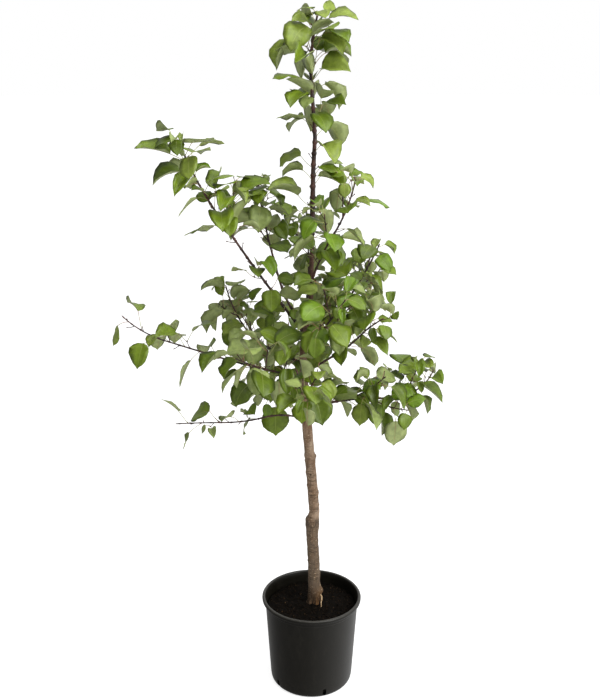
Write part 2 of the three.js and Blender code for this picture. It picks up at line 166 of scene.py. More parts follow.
class Finish(Graph):
    """A material built round one Principled shader"""

    def __init__(self, name, **constants):
        self.material = bpy.data.materials.new(name)
        self.material.use_nodes = True
        super().__init__(self.material.node_tree)
        self.shader = self.tree.nodes["Principled BSDF"]
        for socket, value in constants.items():
            self.shader.inputs[socket.replace("_", " ")].default_value = value

    def place(self, scale=(1, 1, 1)):
        """The surface's own place in metres, times a number along each axis"""
        here = self.node("TexCoord", {}, {}, "Object")
        return self.node("VectorMath", {"operation": "MULTIPLY"}, {0: here, 1: scale})

    def nearness(self, point, inner, outer):
        """1 within the inner distance of a point, 0 beyond the outer one"""
        apart = self.node("VectorMath", {"operation": "DISTANCE"}, {0: self.place(), 1: point}, 1)
        return 1 - apart.between(inner, outer)

    def split(self, vector, axis):
        return self.node("SeparateXYZ", {}, {0: vector}, axis)

    def grain(self, size, detail=3.0, roughness=0.55, stretch=(1, 1, 1)):
        """Soft random values whose patches are about size metres across"""
        inputs = {"Vector": self.place(stretch), "Scale": 1 / size, "Detail": detail, "Roughness": roughness}
        return self.node("TexNoise", {}, inputs)

    def blend(self, share, first, second):
        """One colour at 0 and the other at 1"""
        return self.node("Mix", {"data_type": "RGBA"}, {0: share, 6: first, 7: second}, 2)

    def colour(self, value):
        self.feed(self.shader.inputs["Base Color"], value)

    def roughness(self, value):
        self.feed(self.shader.inputs["Roughness"], value)

    def bump(self, height, depth):
        """Relief whose full height is depth metres"""
        made = self.node("Bump", {}, {"Height": height, "Distance": depth, "Strength": 1.0})
        self.feed(self.shader.inputs["Normal"], made)


def seen(red, green, blue):
    """A colour as it looks, from 0 to 255, as the light values that shaders use"""
    return (*[((value / 255 + 0.055) / 1.055) ** 2.4 for value in (red, green, blue)], 1.0)


surround = bpy.data.worlds.new("surround")
surround.use_nodes = True
sky = Graph(surround.node_tree)
ray = sky.node("TexCoord", {}, {}, "Generated")
towards = sky.node("VectorMath", {"operation": "DOT_PRODUCT"}, {0: ray, 1: BRIGHT_SIDE}, "Value")
rise = {"Value": towards, "From Min": -1, "To Min": SURROUND_DARK, "To Max": SURROUND_BRIGHT}
light = sky.node("MapRange", {"interpolation_type": "SMOOTHSTEP"}, rise)
background = sky.tree.nodes["Background"]
background.inputs["Color"].default_value = (1, 1, 1, 1)
sky.feed(background.inputs["Strength"], light | sky.node("LightPath", {}, {}, "Is Camera Ray"))
bpy.context.scene.world = surround

floor_finish = Finish(
    "studio_floor", Base_Color=FLOOR_COLOUR, Roughness=0.9,
    Emission_Color=(1, 1, 1, 1), Emission_Strength=FLOOR_GLOW,
)
floor_form = bmesh.new()
bmesh.ops.create_circle(floor_form, cap_ends=True, segments=FLOOR_SIDES, radius=FLOOR_RADIUS)
floor_mesh = bpy.data.meshes.new("studio_floor")
floor_form.to_mesh(floor_mesh)
floor_form.free()
floor_mesh.materials.append(floor_finish.material)
floor = add_to_scene("studio_floor", floor_mesh)
floor.visible_glossy = False

# Pot
# A black nursery pot of about 12 litres, blown in one piece. Its wall narrows to the foot, its rim
# is rolled outwards into a thick lip, and drain slots are cut through the corner of the foot.
MM = 0.001
POT_HEIGHT = 262 * MM
RIM_RADIUS = 140 * MM
LIP_HEIGHT = 11.5 * MM
WALL_TOP_RADIUS = 131.5 * MM
WALL_FOOT_RADIUS = 116.5 * MM
FOOT_RADIUS = 107 * MM
FOOT_RISE = 19.2 * MM
POT_WALL = 3 * MM
POT_FLOOR = 4 * MM
STEP_DROP = 11 * MM  # the faint mould step lies this far under the lip
STEP_DEPTH = 0.7 * MM
POT_TURNS = 160
SLOTS = 5
FIRST_SLOT = -144  # degrees round from +X
SLOT_WIDTH = 10 * MM
SLOT_FOOT = 1 * MM
SLOT_HEIGHT = 27 * MM
SLOT_DEPTH = 32 * MM
SLOT_ROUNDING = 2.6 * MM
ROUNDING_STEPS = 4
SMOOTH_UNDER = 40  # degrees between faces that still shade as one
COUNTED_ALONG = Vector((1, 1.7, 31))  # a slanting direction, so that no two places are level in it
POT_BLACK = seen(19, 17, 11)
POT_WORN = seen(36, 33, 26)
# The pale grey of the painted highlight along the rim's top edge
POT_RIM_HIGHLIGHT = seen(62, 60, 55)


def wall_radius(z):
    share = (z - FOOT_RISE) / (POT_HEIGHT - LIP_HEIGHT - FOOT_RISE)
    return WALL_FOOT_RADIUS + (WALL_TOP_RADIUS - WALL_FOOT_RADIUS) * share


def add_piece(name, form, *finishes):
    """A smooth-shaded object from a finished bmesh"""
    mesh = bpy.data.meshes.new(name)
    form.to_mesh(mesh)
    form.free()
    mesh.shade_smooth()
    for finish in finishes:
        mesh.materials.append(finish.material)
    return add_to_scene(name, mesh)


def put_in_order(form):
    """Corners and faces counted by their places. Spins and extrusions number them anew in each run."""
    form.verts.sort(key=lambda vert: vert.co.dot(COUNTED_ALONG))
    form.faces.sort(key=lambda face: face.calc_center_median().dot(COUNTED_ALONG))


def turned_form(section, turns):
    """A section turned round the upright axis: each corner's radius, height and rounding"""
    form = bmesh.new()
    verts = [form.verts.new((r, 0, z)) for r, z, _ in section]
    for first, second in zip(verts, verts[1:]):
        form.edges.new((first, second))
    for vert, (_, _, rounding) in zip(verts, section):
        if rounding:
            bmesh.ops.bevel(
                form, geom=[vert], offset=rounding, offset_type="OFFSET", segments=ROUNDING_STEPS,
                profile=0.5, affect="VERTICES", material=-1,
            )
    bmesh.ops.spin(
        form, geom=form.verts[:] + form.edges[:], cent=(0, 0, 0), axis=(0, 0, 1),
        angle=math.tau, steps=turns, use_merge=True,
    )
    bmesh.ops.remove_doubles(form, verts=form.verts, dist=1e-6)
    put_in_order(form)
    bmesh.ops.recalc_face_normals(form, faces=form.faces)
    return form


def pot_section():
    """Out along the foot, up the wall, over the lip, and down and in along the inside"""
    lip_foot = POT_HEIGHT - LIP_HEIGHT
    step = lip_foot - STEP_DROP
    inner = WALL_TOP_RADIUS - POT_WALL
    return [
        (0, 0, 0),
        (FOOT_RADIUS, 0, 2.5 * MM),
        (WALL_FOOT_RADIUS - 2 * MM, 7.2 * MM, 4 * MM),
        (WALL_FOOT_RADIUS, FOOT_RISE, 5 * MM),
        (wall_radius(step) - STEP_DEPTH, step - 1 * MM, 0.4 * MM),
        (wall_radius(step), step, 0.4 * MM),
        (WALL_TOP_RADIUS, lip_foot, 2 * MM),
        (RIM_RADIUS - 1 * MM, lip_foot + 0.5 * MM, 3 * MM),
        (RIM_RADIUS, POT_HEIGHT, 4.5 * MM),
        (inner + 3 * MM, POT_HEIGHT, 2.5 * MM),
        (inner, POT_HEIGHT - 12 * MM, 3 * MM),
        (WALL_FOOT_RADIUS - POT_WALL, FOOT_RISE, 4 * MM),
        (FOOT_RADIUS - POT_WALL, POT_FLOOR, 3 * MM),
        (0, POT_FLOOR, 0),
    ]


def slot_form():
    """A block with rounded long edges at each drain slot"""
    form = bmesh.new()
    for i in range(SLOTS):
        made = bmesh.ops.create_cube(form, size=1)["verts"]
        bmesh.ops.scale(form, vec=(SLOT_DEPTH, SLOT_WIDTH, SLOT_HEIGHT), verts=made)
        bmesh.ops.translate(form, vec=(FOOT_RADIUS + 4 * MM, 0, SLOT_FOOT + SLOT_HEIGHT / 2), verts=made)
        along_radius = [
            edge for edge in form.edges
            if edge.verts[0] in made and abs(edge.verts[0].co.x - edge.verts[1].co.x) > SLOT_WIDTH
        ]
        rounded = bmesh.ops.bevel(
            form, geom=along_radius, offset=SLOT_ROUNDING, offset_type="OFFSET",
            segments=ROUNDING_STEPS, profile=0.5, affect="EDGES", material=-1,
        )["faces"]
        block = list(dict.fromkeys(vert for face in rounded for vert in face.verts))
        turn = math.radians(FIRST_SLOT + i * 360 / SLOTS)
        bmesh.ops.rotate(form, verts=block, cent=(0, 0, 0), matrix=Matrix.Rotation(turn, 3, "Z"))
    return form


pot_finish = Finish("black_pot_plastic", Specular_IOR_Level=0.36)
scuffs = pot_finish.grain(26 * MM, 5.0, 0.7, stretch=(1, 1, 0.35))
dust = pot_finish.grain(2.4 * MM, 2.0)
low_dust = (1 - pot_finish.split(pot_finish.place(), "Z").between(0.0, 0.09)) * 0.5
worn = scuffs.between(0.5, 0.78) * 0.55 + low_dust * dust.between(0.45, 0.7)
pot_base = pot_finish.blend(worn, POT_BLACK, POT_WORN)
# The rim's top edge is painted pale, as a painted highlight along the lip.
painted_rim_highlight = pot_finish.split(pot_finish.place(), "Z").between(POT_HEIGHT - 3 * MM, POT_HEIGHT)
pot_finish.colour(pot_finish.blend(painted_rim_highlight * 0.7, pot_base, POT_RIM_HIGHLIGHT))
pot_finish.roughness(0.26 + scuffs * 0.14 + dust * 0.08)
pot_finish.bump(dust * 0.35 + scuffs * 0.65, 0.25 * MM)

pot = add_piece("pot_shell", turned_form(pot_section(), POT_TURNS), pot_finish)
cutter = add_piece("slot_cutter", slot_form())
cut = pot.modifiers.new("slots", "BOOLEAN")
cut.operation = "DIFFERENCE"
cut.object = cutter
bpy.context.view_layer.update()
whole = pot.data
pot.data = bpy.data.meshes.new_from_object(pot.evaluated_get(bpy.context.evaluated_depsgraph_get()))
pot.modifiers.clear()
bpy.data.meshes.remove(whole)
bpy.data.objects.remove(cutter)
pot.data.set_sharp_from_angle(angle=math.radians(SMOOTH_UNDER))
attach(pot, "root")
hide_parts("pot")

# Soil
# Dark peat that fills the pot to 29 mm under the rim, crumbly on top. Loose crumbs of peat and a
# few pale fibres lie on it.
SOIL_LEVEL = 233 * MM
SOIL_RADIUS = 123.2 * MM
SOIL_WALL = (111.5 * MM, 19 * MM)  # how far out the peat reaches where the pot's foot begins to round
SOIL_FOOT_RADIUS = 102 * MM
SOIL_FOOT = 4.6 * MM
SLOPE = 5 * MM
SLOPE_START = 0.55  # of the way out to the wall
MOUND = 11 * MM  # the peat is heaped up by this much round the trunk
MOUND_CENTRE = (6 * MM, 2 * MM)
MOUND_SPREAD = 42 * MM
SOIL_RINGS = 52
SOIL_TURNS = 150
# The top's unevenness: the size of each kind of lump, its height, and the layer of noise it is cut from
SOIL_LUMPS = ((19 * MM, 4 * MM, 0.3), (6 * MM, 1.8 * MM, 0.7), (2.2 * MM, 0.7 * MM, 0.1))
CRUMBS = 1500
FIBRES = 60
DRY_CRUMB_EVERY = 40
CRUMB_SIZE = 1.3 * MM
CRUMB_VARIES = (0.7, 1.2)  # to the fourth power, so that large crumbs are rare
CRUMB_STRETCH = (1, 1.9)
FIBRE_SIZE = (0.35, 0.6)
FIBRE_STRETCH = (6, 16)
PEAT_DARK = seen(5, 4, 3)
PEAT_BROWN = seen(21, 16, 10)
PEAT_PALE = seen(84, 66, 46)


def soil_height(x, y):
    """The bumpy top of the peat, a little lower towards the wall"""
    slope = -SLOPE * max(math.hypot(x, y) / SOIL_RADIUS - SLOPE_START, 0)
    from_trunk = math.hypot(x - MOUND_CENTRE[0], y - MOUND_CENTRE[1])
    height = SOIL_LEVEL + slope + MOUND * math.exp(-((from_trunk / MOUND_SPREAD) ** 2))
    for size, rise, layer in SOIL_LUMPS:
        height += noise.noise(Vector((x, y, layer)) / size) * rise
    return height


def soil_form():
    section = [(0, SOIL_FOOT, 0), (SOIL_FOOT_RADIUS, SOIL_FOOT, 0), (*SOIL_WALL, 0)]
    section += [(SOIL_RADIUS, SOIL_LEVEL - 8 * MM, 0)]
    section += [(SOIL_RADIUS * (1 - i / SOIL_RINGS), SOIL_LEVEL, 0) for i in range(SOIL_RINGS + 1)]
    form = turned_form(section, SOIL_TURNS)
    for vert in form.verts:
        if vert.co.z > SOIL_LEVEL - 1 * MM:
            vert.co.z = soil_height(vert.co.x, vert.co.y)
    return form


def unit(vectors):
    """Vectors brought to length 1"""
    vectors = np.asarray(vectors, float)
    return vectors / np.maximum(np.linalg.norm(vectors, axis=-1, keepdims=True), 1e-12)


class Form:
    """A small closed shape, made once by operators and then set in many places by arrays"""

    def __init__(self, form):
        form.verts.index_update()
        self.points = np.array([vert.co for vert in form.verts])
        self.faces = [[vert.index for vert in face.verts] for face in form.faces]
        self.marks = [face.material_index for face in form.faces]
        self.sharp = [[v.index for v in edge.verts] for edge in form.edges if not edge.smooth]
        form.free()


def joined_piece(name, placed, finishes):
    """One object out of many placed forms: each is its form, its points in metres and its finishes"""
    points = []
    faces = []
    sharp = []
    slots = []
    count = 0
    for form, where, looks in placed:
        points.append(where)
        faces.extend([[index + count for index in face] for face in form.faces])
        sharp.extend([[index + count for index in edge] for edge in form.sharp])
        slots.extend([looks[mark] for mark in form.marks])
        count += len(where)
    mesh = bpy.data.meshes.new(name)
    mesh.from_pydata(np.vstack(points), sharp, faces)
    mesh.update()
    for finish in finishes:
        mesh.materials.append(finish.material)
    mesh.polygons.foreach_set("material_index", slots)
    mesh.shade_smooth()
    if sharp:
        edges = mesh.attributes.new("sharp_edge", "BOOLEAN", "EDGE")
        edges.data.foreach_set("value", [i < len(sharp) for i in range(len(mesh.edges))])
    return add_to_scene(name, mesh)


def ball_form(subdivisions):
    form = bmesh.new()
    bmesh.ops.create_icosphere(form, subdivisions=subdivisions, radius=1)
    return Form(form)


def lying(random, size, stretch):
    """Three square directions, lying nearly flat, with a size along each"""
    turn = random.uniform(0, math.tau)
    tilt = random.uniform(-0.35, 0.35)
    ahead = np.array([math.cos(turn) * math.cos(tilt), math.sin(turn) * math.cos(tilt), math.sin(tilt)])
    side = unit(np.cross([0, 0, 1], ahead))
    return np.array([ahead * stretch, side, np.cross(ahead, side) * 0.7]) * size


def crumb_places():
    random = np.random.default_rng(12)
    placed = []
    lump = ball_form(1)
    for i in range(CRUMBS + FIBRES):
        fibre = i >= CRUMBS
        r = (SOIL_RADIUS - 4 * MM) * math.sqrt(random.uniform(0.02, 1))
        turn = random.uniform(0, math.tau)
        x = r * math.cos(turn)
        y = r * math.sin(turn)
        size = random.uniform(*FIBRE_SIZE) * MM if fibre else random.uniform(*CRUMB_VARIES) ** 4 * CRUMB_SIZE
        stretch = random.uniform(*FIBRE_STRETCH if fibre else CRUMB_STRETCH)
        rough = lump.points * random.uniform(0.75, 1.2, (len(lump.points), 1))
        where = rough @ lying(random, size, stretch) + (x, y, soil_height(x, y) + size * 0.3)
        tint = 2 if fibre or i % DRY_CRUMB_EVERY == 0 else i % 2
        placed.append((lump, where, [tint]))
    return placed


def peat_finish(name, low, high):
    finish = Finish(name, Specular_IOR_Level=0.06)
    wet = finish.grain(9 * MM, 6.0, 0.7)
    crumb = finish.grain(1.6 * MM, 3.0, 0.6)
    finish.colour(finish.blend(wet.between(0.3, 0.7) * 0.6 + crumb.between(0.4, 0.75) * 0.4, low, high))
    finish.roughness(0.75 + wet * 0.25)
    finish.bump(crumb, 1.2 * MM)
    return finish


peat = peat_finish("dark_peat", PEAT_DARK, PEAT_BROWN)
peat_dry = peat_finish("dry_peat", seen(18, 14, 10), seen(42, 32, 22))
peat_fibre = peat_finish("peat_fibre", seen(48, 36, 24), PEAT_PALE)
soil = add_piece("soil_top", soil_form(), peat)
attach(soil, "root")
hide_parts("soil")

crumbs = joined_piece("soil_crumbs", crumb_places(), [peat, peat_dry, peat_fibre])
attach(crumbs, "root")

# Trunk
# A grafted stem, grey-brown with pale lenticels at its foot and browner towards the crown. It has a
# small root flare, the old graft's ledge on its left, a few healed knots and one sawn-off stub.
# Each row is the height, the sideways place, the depth and the radius, in millimetres.
TRUNK_STATIONS = np.array([
    [233.3, 7, 0, 20],
    [252, 7.5, 0, 18],
    [280, 8, 0, 17],
    [371, 6, 2, 16.2],
    [440, 1.5, 2, 16],
    [486, 1, 0, 18],
    [503, 3, 0, 17.2],
    [519, 7, 0, 14.2],
    [615, 0, -3, 12.6],
    [756, -12, -3, 11.6],
    [847, -18, 0, 10.8],
    [930, -24.5, 2, 10.2],
    [1028, -22, 1, 9.2],
    [1060, -15, 0, 7.4],
    [1121, -5, 0, 6.2],
    [1290, -2, 3, 5.2],
    [1450, 0, 1, 4.2],
    [1530, 4, -1, 3.7],
    [1666, -5, 0, 3],
    [1712, -8, 2, 2.7],
    [1765, -1, 2, 2.3],
    [1812, 8, 0, 1.8],
])
LEADER_START = 1290  # the top shoot's stem begins here
TRUNK_FOOT = 229  # the bark goes on a little into the crumbs
TRUNK_RING = 3.5
TRUNK_SIDES = 44
ROUNDED_OVER = (-9, -4.5, 0, 4.5, 9)  # the line is the mean of the places this far up and down
# The upper stem's bark stands over the solid's smooth line: height and thickness
BARK_THICKNESS = ([519, 580, 760, 850, 930], [0, 1.2, 2.0, 1.4, 0])
FLARE_LOBES = 4
FLARE_DEPTH = 0.16
FLARE_FADE = 26
FLARE_PHASE = 25
# The bark's unevenness: how drawn out its patches are, their size, the layer of noise, their height
BARK_RELIEF = ((0.35, 5, 3, 0.9), (1, 12, 7, 1.3))
# Height, and how strongly the bark is furrowed there
FURROWED = ([250, 560, 1000], [1.0, 0.55, 0.2])
# Each swelling's height, heading in degrees, reach up and down, reach round in degrees, and rise
SWELLINGS = [
    (492, 182, 13, 62, 1.6),
    (501, 172, 5, 52, 2.2),
    (480, 10, 14, 50, 2.2),
    (496, 268, 6, 40, 1.6),
    (488, 262, 3, 40, -1.6),
    (474, 285, 4, 20, -1.6),
    (276, 354, 12, 32, 8.5),
    (254, 330, 12, 26, 4.5),
    (238, 190, 12, 40, 2.4),
    (300, 150, 9, 26, 1.5),
    (580, 0, 9, 30, 2.2),
    (560, 330, 4, 18, -0.9),
    (612, 275, 5, 18, 1.4),
    (640, 178, 7, 26, 1.6),
    (687, 2, 8, 30, 3.2),
    (672, 350, 6, 22, 1.2),
    (690, 184, 6, 24, 1.5),
    (735, 262, 5, 22, 1.2),
    (765, 100, 7, 28, 2.0),
    (660, 80, 7, 28, 1.8),
    (596, 130, 6, 26, 1.6),
    (430, 60, 9, 30, 1.5),
    (385, 200, 8, 26, 1.3),
    (350, 300, 8, 24, 1.1),
    (330, 20, 7, 24, 1.3),
]
# Small dark knots, where side shoots were rubbed off: height and heading
KNOTS = [(676, 184), (640, 264), (603, 186), (545, 352), (371, 188), (690, 2)]
KNOT_REACH = 3.4
KNOT_SPREAD = 15
KNOT_RISE = 1.9
BARK_GREY = seen(150, 130, 111)
BARK_BROWN = seen(106, 82, 61)
BARK_RED = seen(70, 45, 37)
BARK_OLIVE = seen(84, 72, 58)
BARK_GOLDEN = seen(122, 84, 44)
BARK_DARK = seen(36, 28, 22)
LENTICEL = seen(176, 154, 126)


def trunk_at(z):
    """The trunk's axis and radius at a height"""
    x, y, r = (np.interp(z, TRUNK_STATIONS[:, 0], TRUNK_STATIONS[:, i]) for i in (1, 2, 3))
    return np.array([x, y, z]), r


def tube_form(rings, sides):
    """A closed tube, made by extruding a circle from ring to ring, one unit of height each"""
    form = bmesh.new()
    bmesh.ops.create_circle(form, cap_ends=True, segments=sides, radius=1)
    edges = form.edges[:]
    for _ in range(rings - 1):
        grown = bmesh.ops.extrude_edge_only(form, edges=edges)["geom"]
        edges = [item for item in grown if isinstance(item, bmesh.types.BMEdge)]
        verts = [item for item in grown if isinstance(item, bmesh.types.BMVert)]
        bmesh.ops.translate(form, vec=(0, 0, 1), verts=verts)
    bmesh.ops.contextual_create(form, geom=edges)
    put_in_order(form)
    bmesh.ops.recalc_face_normals(form, faces=form.faces)
    return Form(form)


TUBES = {}


def tube_through(rings):
    """A tube's form, with its points on the given rings, which are an array of ring, side and place"""
    count, sides = rings.shape[:2]
    if (count, sides) not in TUBES:
        TUBES[count, sides] = tube_form(count, sides)
    form = TUBES[count, sides]
    ring = np.round(form.points[:, 2]).astype(int)
    # The circle's first point is on the Y axis, so turns are measured from there.
    turn = np.arctan2(-form.points[:, 0], form.points[:, 1])
    side = np.round(turn / math.tau * sides).astype(int) % sides
    return form, rings[ring, side] * MM


def wander(points, size, seed):
    """Soft random values from -1 to 1 at points, over patches of a size"""
    return np.array([noise.noise(Vector(point) / size + Vector((seed, 0, 0))) for point in points])


def trunk_rings():
    heights = np.arange(TRUNK_FOOT, LEADER_START + 2, TRUNK_RING)
    turns = np.arange(TRUNK_SIDES) * math.tau / TRUNK_SIDES
    knots = [(*knot, KNOT_REACH, KNOT_SPREAD, KNOT_RISE) for knot in KNOTS]
    rings = []
    for z in heights:
        near = [trunk_at(z + shift) for shift in ROUNDED_OVER]
        centre = np.mean([point for point, _ in near], axis=0)
        centre[2] = z
        radius = np.full(TRUNK_SIDES, np.mean([r for _, r in near]) + np.interp(z, *BARK_THICKNESS))
        fade = math.exp((SOIL_LEVEL / MM - z) / FLARE_FADE)
        radius *= 1 + FLARE_DEPTH * min(fade, 1) * np.cos(FLARE_LOBES * (turns - math.radians(FLARE_PHASE)))
        for height, heading, reach, spread, rise in SWELLINGS + knots:
            apart = (turns - math.radians(heading) + math.pi) % math.tau - math.pi
            here = math.exp(-(((z - height) / reach) ** 2))
            radius += rise * here * np.exp(-((apart / math.radians(spread)) ** 2))
        out = np.stack([np.cos(turns), np.sin(turns), np.zeros(TRUNK_SIDES)], axis=1)
        skin = centre + out * radius[:, None]
        relief = np.zeros(TRUNK_SIDES)
        for flat, size, layer, rise in BARK_RELIEF:
            relief += wander(skin * (1, 1, flat), size, layer) * rise
        rings.append(skin + out * (relief * np.interp(z, *FURROWED))[:, None])
    return np.array(rings)


def pointed_rings(path, radii, sides):
    """Round rings along a line, for stubs, splinters and buds: a row of places and their radii"""
    path = np.asarray(path, float)
    ahead = unit(np.gradient(path, axis=0))
    side = unit(np.cross(ahead, [0.31, 0.17, 0.93]))
    across = np.cross(ahead, side)
    turns = np.arange(sides) * math.tau / sides
    out = side[:, None] * np.cos(turns)[:, None] + across[:, None] * np.sin(turns)[:, None]
    return path[:, None] + out * np.asarray(radii)[:, None, None]


def knot_place(height, heading):
    centre, radius = trunk_at(height)
    turn = math.radians(heading)
    out = radius + np.interp(height, *BARK_THICKNESS) + KNOT_RISE
    return (centre + np.array([math.cos(turn), math.sin(turn), 0]) * out) * MM


def bark_finish():
    """Grey-brown bark that turns red-brown and smoother with height"""
    finish = Finish("trunk_bark", Specular_IOR_Level=0.22)
    z = finish.split(finish.place(), "Z")
    young = z.between(0.84, 1.16)
    patches = finish.grain(30 * MM, 4.0, stretch=(1, 1, 0.5))
    streaks = finish.grain(4 * MM, 4.0, 0.6, stretch=(1, 1, 0.12))
    dashes = finish.grain(2.2 * MM, 1.5, 0.5, stretch=(0.35, 0.35, 1))
    rings_round = finish.grain(7 * MM, 3.0, 0.5, stretch=(0.12, 0.12, 1))
    bands = finish.grain(3 * MM, 2.0, 0.6, stretch=(0.3, 0.3, 1)).between(0.5, 0.62)
    bands = bands * z.between(0.5, 0.54) * (1 - z.between(0.64, 0.8))
    fissures = finish.grain(3 * MM, 3.0, 0.6, stretch=(1, 1, 0.06)).between(0.56, 0.68)
    stock = 1 - z.between(0.48, 0.515)
    green = finish.grain(70 * MM, 3.0).between(0.42, 0.62) * (1 - z.between(0.3, 0.62))
    base = finish.blend(patches.between(0.3, 0.7), BARK_BROWN, BARK_GREY)
    base = finish.blend(stock * 0.66 + green * 0.24, base, BARK_OLIVE)
    base = finish.blend(streaks.between(0.48, 0.72) * 0.6, base, BARK_BROWN)
    base = finish.blend(young * 0.9, base, BARK_RED)
    base = finish.blend(rings_round.between(0.54, 0.7) * 0.55, base, BARK_DARK)
    base = finish.blend((bands * 0.5 | fissures * 0.45) * (1 - young * 0.6), base, BARK_DARK)
    # The graft's callus and the foot are deeply cracked.
    union = z.between(0.47, 0.49) * (1 - z.between(0.498, 0.512))
    foot = 1 - z.between(0.235, 0.31)
    # The foot is golden all round, and its right side, towards the light, is painted more golden still as
    # painted light.
    right = finish.split(finish.place(), "X").between(-2 * MM, 18 * MM)
    base = finish.blend(foot * (0.3 + right * 0.55), base, BARK_GOLDEN)
    cracked = union * patches.between(0.42, 0.56) * 0.7 + foot * streaks.between(0.4, 0.54)
    base = finish.blend(cracked * 0.85, base, BARK_DARK)
    for height, heading in KNOTS:
        knot = finish.nearness(tuple(knot_place(height, heading)), 1.6 * MM, 4.4 * MM)
        base = finish.blend(knot * 0.8, base, BARK_DARK)
    pale = dashes.between(0.62, 0.7) * (1 - young * 0.7) * (1 - cracked)
    base = finish.blend(pale * 0.75, base, LENTICEL)
    finish.colour(base)
    finish.roughness(0.82 - young * 0.22 + streaks * 0.1)
    relief = streaks * 0.45 + dashes.between(0.55, 0.72) * 0.35 + rings_round * 0.35
    finish.bump(relief - bands * 0.25 - fissures * 0.3, 2.2 * MM)
    return finish


trunk_bark = bark_finish()
cut_wood = Finish("cut_wood", Specular_IOR_Level=0.3)
wood_grain = cut_wood.grain(2.5 * MM, 4.0)
cut_wood.colour(cut_wood.blend(wood_grain.between(0.3, 0.7), seen(140, 108, 74), seen(206, 180, 144)))
cut_wood.roughness(0.7 + wood_grain * 0.2)
cut_wood.bump(wood_grain, 0.5 * MM)
dead_wood = Finish("dead_wood", Specular_IOR_Level=0.25)
dead_grain = dead_wood.grain(2 * MM, 4.0)
dead_wood.colour(dead_wood.blend(dead_grain, seen(26, 20, 18), seen(70, 54, 46)))
dead_wood.roughness(0.8 + dead_grain * 0.15)
dead_wood.bump(dead_grain, 0.6 * MM)

# A torn strip of root bark at the right of the foot, and the stub of a limb that was cut away
splinter = pointed_rings(
    [[24, -10, 272], [28, -13, 263], [28.5, -17, 255], [26.5, -21, 248], [27, -24, 241], [26.5, -27, 234]],
    [0.8, 2.8, 2.3, 1.7, 1.6, 0.8], 8,
)
stub = pointed_rings(
    [[-24, -1, 1006], [-16, -4, 1011], [-9, -6, 1017], [-3, -7, 1024], [-1, -7, 1026], [-1, -7, 1026.6]],
    [7.5, 6.4, 5.0, 4.7, 3.6, 0.2], 12,
)
trunk_places = [
    (*tube_through(trunk_rings()), [0]),
    (*tube_through(splinter), [1]),
    (*tube_through(stub), [2]),
]
trunk = joined_piece("trunk_bark", trunk_places, [trunk_bark, cut_wood, dead_wood])
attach(trunk, "root")
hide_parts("trunk")

# Boughs
# Last year's long limbs, thin, dark red-brown and glossy, with a raised joint and a bud every few
# centimetres. Each is bare from the trunk to where its leafy shoot begins.
LIMB_STEP = 10
JOINT_GAP = 27  # from one joint on young wood to the next
JOINT_REACH = 2.6
JOINT_RISE = 0.34  # these rises are shares of the wood's radius
BUD_REACH = 3.2
BUD_RISE = 0.3
COLLAR_REACH = 14
COLLAR_RISE = 0.55
BARK_RISE = 0.07
YEARLING_STOUT = 1.15  # bark, scales and buds make the limbs this much thicker than their solids
BOUGH_SIDES = 12
BOUGH_RING = 2.6
GOLDEN_TURN = 137.5  # degrees from one bud to the next round the wood
# Each limb's height on the trunk, headings, rises, length, bare length, and first and last radius.
# Headings and rises are degrees and change evenly along a limb; lengths are millimetres.
BOUGHS = {
    "left_high": (1033, [191, 200, 208, 236], [53, 55, 57, 62], 600, 310, [3.4, 1.5]),
    "left_middle": (890, [182, 183, 183, 184, 188], [30, 15, 19, 19, 47], 510, 190, [2.6, 1.2]),
    "left_low": (791, [193, 188, 190, 191], [29, -12, 4, 1], 350, 60, [2.2, 1.2]),
    "right_low": (803, [12, 8, 3, 8, 23], [40, 7, -2, 15, 66], 380, 60, [3.4, 1.4]),
    "left_inner": (1049, [173, 144, 127, 110], [46, 70, 68, 71], 410, 200, [3.0, 1.5]),
    "front_upright": (1046, [260, 310, 334, 318], [70, 66, 58, 76], 440, 180, [3.2, 1.5]),
    "right_high": (1009, [6, 22, 32, 42], [23, 50, 52, 56], 330, 110, [3.2, 1.5]),
    "right_middle": (921, [352, 327, 304, 312], [34, 36, 42, 32], 320, 90, [3.0, 1.4]),
    "back_left": (951, [161, 157, 139, 116], [13, 22, 48, 54], 320, 80, [3.0, 1.4]),
    "left_lower": (842, [165, 159, 144], [-2, 6, 28], 200, 45, [2.4, 1.3]),
    "front_left": (905, [240, 226], [26, 22, 30], 300, 85, [2.7, 1.3]),
    "front_low": (868, [268, 276], [28, 14, 10], 270, 80, [2.6, 1.3]),
    "front_right": (985, [292, 300], [34, 40, 46], 290, 95, [2.7, 1.3]),
    "back_right": (958, [52, 62], [30, 36, 40], 330, 105, [2.9, 1.4]),
    "back_upright": (1040, [75, 92, 96], [55, 64, 60], 330, 115, [2.9, 1.4]),
    "back_low": (852, [104, 92], [24, 14, 18], 370, 110, [2.9, 1.3]),
}
YOUNG_DARK = seen(36, 22, 20)
YOUNG_RED = seen(78, 44, 38)


def along(values, share):
    """A list's value at a share of the way along it"""
    return np.interp(min(max(share, 0), 1) * (len(values) - 1), range(len(values)), values)


def direction(heading, rise):
    heading = math.radians(heading)
    rise = math.radians(rise)
    level = math.cos(rise)
    return np.array([math.cos(heading) * level, math.sin(heading) * level, math.sin(rise)])


